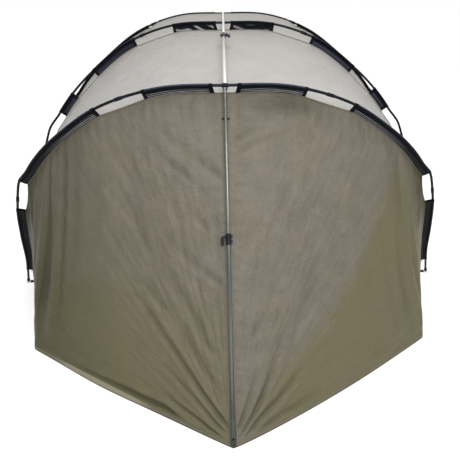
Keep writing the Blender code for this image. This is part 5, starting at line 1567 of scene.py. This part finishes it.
def addPrism(shape, outline, half, place):
    # a flat plate with the outline in X and Z, thick in Y
    rims = []
    for level in (-half, half):
        rims.append([shape.verts.new(place @ Vector((x, level, z))) for x, z in outline])
    shape.faces.new(rims[0])
    shape.faces.new(rims[1][::-1])
    count = len(outline)
    for i in range(count):
        j = (i + 1) % count
        shape.faces.new((rims[0][i], rims[1][i], rims[1][j], rims[0][j]))


def mouldedPiece(name, shape, node, body, material, bevelWidth):
    mesh = bpy.data.meshes.new(name)
    saveShape(shape, mesh)
    mesh.set_sharp_from_angle(angle=math.radians(mouldedSharp))
    piece = addPiece(name, mesh, material, body, [node])
    roundEdges(piece, bevelWidth, 3, mouldedSharp)


def camLever(name, node, body, pin, tailward, side):
    # a bowed plate: eye on the pin, arch to the side, and a broad grip along the pole
    outer = leverLook["arc"] + leverLook["band"] / 2
    inner = leverLook["arc"] - leverLook["band"] / 2
    half = leverLook["grip"] / 2
    tail = leverLook["tail"] - half
    outline = []
    for angle in np.linspace(math.pi / 2, math.pi, 14):
        outline.append((outer * math.cos(angle), -(outer + leverLook["lift"]) * math.sin(angle)))
    for angle in np.linspace(math.pi, math.tau, 9):
        outline.append((-outer + half + half * math.cos(angle), tail - half * math.sin(angle)))
    for angle in np.linspace(math.pi * 0.97, math.pi / 2, 12):
        reach = inner - (leverLook["grip"] - leverLook["band"]) * min((angle - math.pi / 2) / 0.9, 1)
        outline.append((reach * math.cos(angle), -reach * math.sin(angle)))
    place = memberFrame(pin, tailward)
    if side > 0:
        place = place @ Matrix.Rotation(math.pi, 4, "Z")
    shape = bmesh.new()
    addPrism(shape, outline, leverLook["thickness"] / 2, place @ Matrix.Translation((0, 0, leverLook["arc"])))
    eye = bmesh.ops.create_cone(shape, cap_ends=True, segments=24, radius1=leverLook["eye"],
                                radius2=leverLook["eye"], depth=leverLook["thickness"] + 0.0004)
    bmesh.ops.transform(shape, matrix=place @ Matrix.Rotation(math.pi / 2, 4, "X"), verts=eye["verts"])
    mouldedPiece(name, shape, node, body, nylon, leverLook["bevel"])


def hookedSaddle(name, node, body, hoopName, toward, tubeRadius, tubeMaterial):
    # a shell on the hoop, two splayed arms and a thin collar on the tube
    place = memberFrame(crowns[hoopName], toward)
    shape = bmesh.new()
    inner = saddleLook["inner"]
    outer = inner + saddleLook["wall"]
    arc = np.radians(np.linspace(-saddleLook["halfArc"], saddleLook["halfArc"], 13))
    shell = [(outer * math.sin(a), outer * math.cos(a)) for a in arc]
    shell += [(inner * math.sin(a), inner * math.cos(a)) for a in arc[::-1]]
    addPrism(shape, shell, saddleLook["halfLength"], place @ Matrix.Rotation(math.pi / 2, 4, "Z"))
    width = saddleLook["armWidth"]
    top = saddleLook["halfLength"] - saddleLook["armInset"]
    foot = tubeRadius + saddleLook["armInset"]
    for side in (-1, 1):
        arm = [(side * (top - width), saddleLook["armTop"]), (side * top, saddleLook["armTop"]),
               (side * foot, saddleLook["armFoot"]), (side * (foot - width * 0.8), saddleLook["armFoot"])]
        addPrism(shape, arm, saddleLook["armThickness"] / 2, place)
    mouldedPiece(name, shape, node, body, nylon, saddleLook["bevel"])
    chamfer = saddleLook["socketChamfer"]
    chamferedTube(name + "_collar", crowns[hoopName], np.array(Vector(toward).normalized()),
                  (saddleLook["socketFrom"], saddleLook["socketTo"]), tubeRadius + saddleLook["socketWall"],
                  chamfer, chamfer, tubeMaterial, body, [node])


pinAcross = np.array((leverLook["pinOut"], 0, 0))
propPin = crowns["rear"] + downProp * (propLook["lock"] - leverLook["pinBack"]) - pinAcross
ridgePin = crowns["rear"] + alongRidge * (ridgeLook["lock"] + leverLook["pinBack"]) + pinAcross
camLever("prop_cam_lever", "prop_lock_lever", "prop_lever", propPin, downProp, -1)
camLever("ridge_cam_lever", "ridge_lock_lever", "ridge_lever", ridgePin, -alongRidge, 1)
hookedSaddle("prop_top_saddle", "prop_saddle", "rear_prop", "rear", downProp,
             propLook["upperRadius"], greyTube)
hookedSaddle("ridge_back_saddle", "ridge_rear_saddle", "ridge_slider", "rear", alongRidge,
             propLook["lowerRadius"], silverTube)
hookedSaddle("ridge_nose_saddle", "ridge_front_saddle", "tent", "front", ridgeOver - crowns["front"],
             propLook["upperRadius"], silverTube)
for side, word in bothSides:
    finishedCopy("zip_slider_" + word, "door_slider_" + word, word + "_slider", platedSteel)
print("fittings made")


# Tie strap and tip patch on the rear seam

tieLook = {"length": 0.042, "width": 0.010, "lift": 0.004, "share": 0.0725, "off": 0.003, "thickness": 0.0014}
patchLook = {"top": 0.24, "halfTop": 0.0098, "halfBottom": 0.0165, "off": 0.0042, "crown": 0.0012,
             "endShare": 0.998, "thickness": 0.0014, "tongueZ": 0.0311, "tongueEnd": -1.5042,
             "tongueShares": (0.25, 0.5, 0.75, 0.9, 1.0), "noseFrom": 0.35}


def wallSpot(side, share, across):
    # a place on the unfolded wall, share of the way down the seam and across metres from it
    base, normals = walls[side]
    seamReach = reachAlong(base[:, 0])
    row = int(np.clip(np.searchsorted(seamReach, share * seamReach[-1]), 0, len(base) - 1))
    place = pointsAt(across, reachAlong(base[row]), base[row])
    normal = normals[row, 2]
    return place, normal / np.linalg.norm(normal)


def tieStrap():
    centre, normal = wallSpot(1, tieLook["share"], 0)
    normal = np.array((0, normal[1], normal[2])) / math.hypot(normal[1], normal[2])
    down = np.cross((1, 0, 0), normal)
    centre = centre * (0, 1, 1) + normal * tieLook["off"]
    rows = []
    for share in np.linspace(-1, 1, 21):
        # the ends curl up a little, and so do the long edges
        lift = tieLook["lift"] * share ** 2 + 0.0006 * math.sin(share * 9)
        middle = centre + np.array((share * tieLook["length"] / 2, 0, 0)) + normal * lift
        rows.append([middle + down * tieLook["width"] * w / 2 + normal * 0.0004 * w ** 2
                     for w in np.linspace(-1, 1, 7)])
    mesh = gridMesh("seam_tie", np.array(rows))
    addPiece("seam_tie", mesh, webbing, "tent", ["rear_tie_strap"], tieLook["thickness"])


def tipPatch():
    seamLength = float(reachAlong(walls[1][0][:, 0])[-1])
    rows = []
    for share in np.linspace(1 - patchLook["top"] / seamLength, patchLook["endShare"], 26):
        height = (1 - share) * seamLength / patchLook["top"]
        half = patchLook["halfBottom"] + (patchLook["halfTop"] - patchLook["halfBottom"]) * height
        line = []
        for x in np.linspace(-1, 1, 13):
            place, normal = wallSpot(-1 if x < 0 else 1, share, abs(x) * half)
            crown = patchLook["crown"] * (1 - abs(x)) ** 2
            line.append(place + normal * (patchLook["off"] + crown) + np.array((0, 0, 0.0008)))
        rows.append(line)
    foot = np.array(rows[-1])
    nearest = foot[:, 1].min()
    # the tongue turns out flat under the prop's foot and ends in a round nose
    for share in patchLook["tongueShares"]:
        y = nearest + (patchLook["tongueEnd"] - nearest) * share
        narrow = math.sqrt(max(1 - max(share - patchLook["noseFrom"], 0) ** 2 / 0.5, 0.05))
        rows.append([np.array((p[0] * narrow, y, patchLook["tongueZ"])) for p in foot])
    mesh = gridMesh("seam_foot_patch", np.array(rows))
    addPiece("seam_foot_patch", mesh, patchWebbing, "tent", ["rear_tip_patch"],
             patchLook["thickness"])


tieStrap()
tipPatch()
print("seam trim made")


# Camera at the photo's place

cameraLook = {"place": (-0.004, -3.5994, 2.704), "pitch": 32.0, "right": (0.99923, -0.03932), "roll": -0.174,
              "lens": 46.96, "sensor": 36, "shiftX": -0.03837}
cameraData = bpy.data.cameras.new("camera")
cameraData.lens = cameraLook["lens"]
cameraData.sensor_width = cameraLook["sensor"]
cameraData.shift_x = cameraLook["shiftX"]
camera = bpy.data.objects.new("camera", cameraData)
scene.collection.objects.link(camera)
right = Vector((cameraLook["right"][0], cameraLook["right"][1], 0)).normalized()
level = Vector((-right.y, right.x, 0))
pitch = math.radians(cameraLook["pitch"])
forward = level * math.cos(pitch) - Vector((0, 0, math.sin(pitch)))
upward = right.cross(forward)
roll = math.radians(cameraLook["roll"])
rolledRight = right * math.cos(roll) + upward * math.sin(roll)
rolledUp = rolledRight.cross(forward)
turn = Matrix((rolledRight, rolledUp, -forward)).transposed().to_4x4()
camera.matrix_world = Matrix.Translation(cameraLook["place"]) @ turn
scene.camera = camera


# Floor, light and background

studio = {"floorHex": "#efefed", "floorHalf": 60, "floorZ": -0.0005, "floorLift": 0.62, "worldLight": 0.4,
          "keyPlace": (0.5, -3.3, 3.3), "keyTarget": (0, -0.8, 0.9), "keySize": 2.4, "keyPower": 82,
          "topPlace": (0.4, 0.6, 5.2), "topTarget": (0, 0.0, 1.0), "topSize": 3.0, "topPower": 75}


def seenByCamera(tree):
    # one where the camera looks, also in a reflection or through the window film
    rays = addNode(tree, "ShaderNodeLightPath")
    seen = rays.outputs["Is Camera Ray"]
    for word in ("Is Glossy Ray", "Is Transmission Ray"):
        larger = addNode(tree, "ShaderNodeMath", {"operation": "MAXIMUM"}, {0: seen, 1: rays.outputs[word]})
        seen = larger.outputs[0]
    return seen


floorMesh = bpy.data.meshes.new("floor")
corners = [(x * studio["floorHalf"], y * studio["floorHalf"], studio["floorZ"])
           for x, y in ((-1, -1), (1, -1), (1, 1), (-1, 1))]
floorMesh.from_pydata(corners, [], [(0, 1, 2, 3)])
floor = bpy.data.objects.new("floor", floorMesh)
scene.collection.objects.link(floor)
floorMaterial, floorTree, floorShader = newMaterial("matt studio floor", Roughness=0.9, IOR=1.3)
floorShader.inputs["Base Color"].default_value = hexColor(studio["floorHex"])
# the floor glows a little where it is seen, so that it comes out as white as the background
lift = addNode(floorTree, "ShaderNodeMath", {"operation": "MULTIPLY", 1: studio["floorLift"]},
               {0: seenByCamera(floorTree)})
floorShader.inputs["Emission Color"].default_value = (1, 1, 1, 1)
floorTree.links.new(lift.outputs[0], floorShader.inputs["Emission Strength"])
floorMesh.materials.append(floorMaterial)

world = bpy.data.worlds.new("studio")
scene.world = world
world.use_nodes = True
skyTree = world.node_tree
skyTree.nodes.clear()
seen = seenByCamera(skyTree)
lightSky = addNode(skyTree, "ShaderNodeBackground", {"Color": (1, 1, 1, 1), "Strength": studio["worldLight"]})
seenSky = addNode(skyTree, "ShaderNodeBackground", {"Color": (1, 1, 1, 1), "Strength": 1.0})
skyMix = addNode(skyTree, "ShaderNodeMixShader", {}, {0: seen, 1: lightSky.outputs[0], 2: seenSky.outputs[0]})
addNode(skyTree, "ShaderNodeOutputWorld", {}, {"Surface": skyMix.outputs[0]})


def softLight(name, place, target, size, power):
    data = bpy.data.lights.new(name, "AREA")
    data.shape = "SQUARE"
    data.size = size
    data.energy = power
    lamp = bpy.data.objects.new(name, data)
    scene.collection.objects.link(lamp)
    lamp.location = place
    lamp.rotation_mode = "QUATERNION"
    lamp.rotation_quaternion = (Vector(target) - Vector(place)).to_track_quat("-Z", "Y")


for word in ("key", "top"):
    softLight(word, studio[word + "Place"], studio[word + "Target"], studio[word + "Size"],
              studio[word + "Power"])
print("studio made")
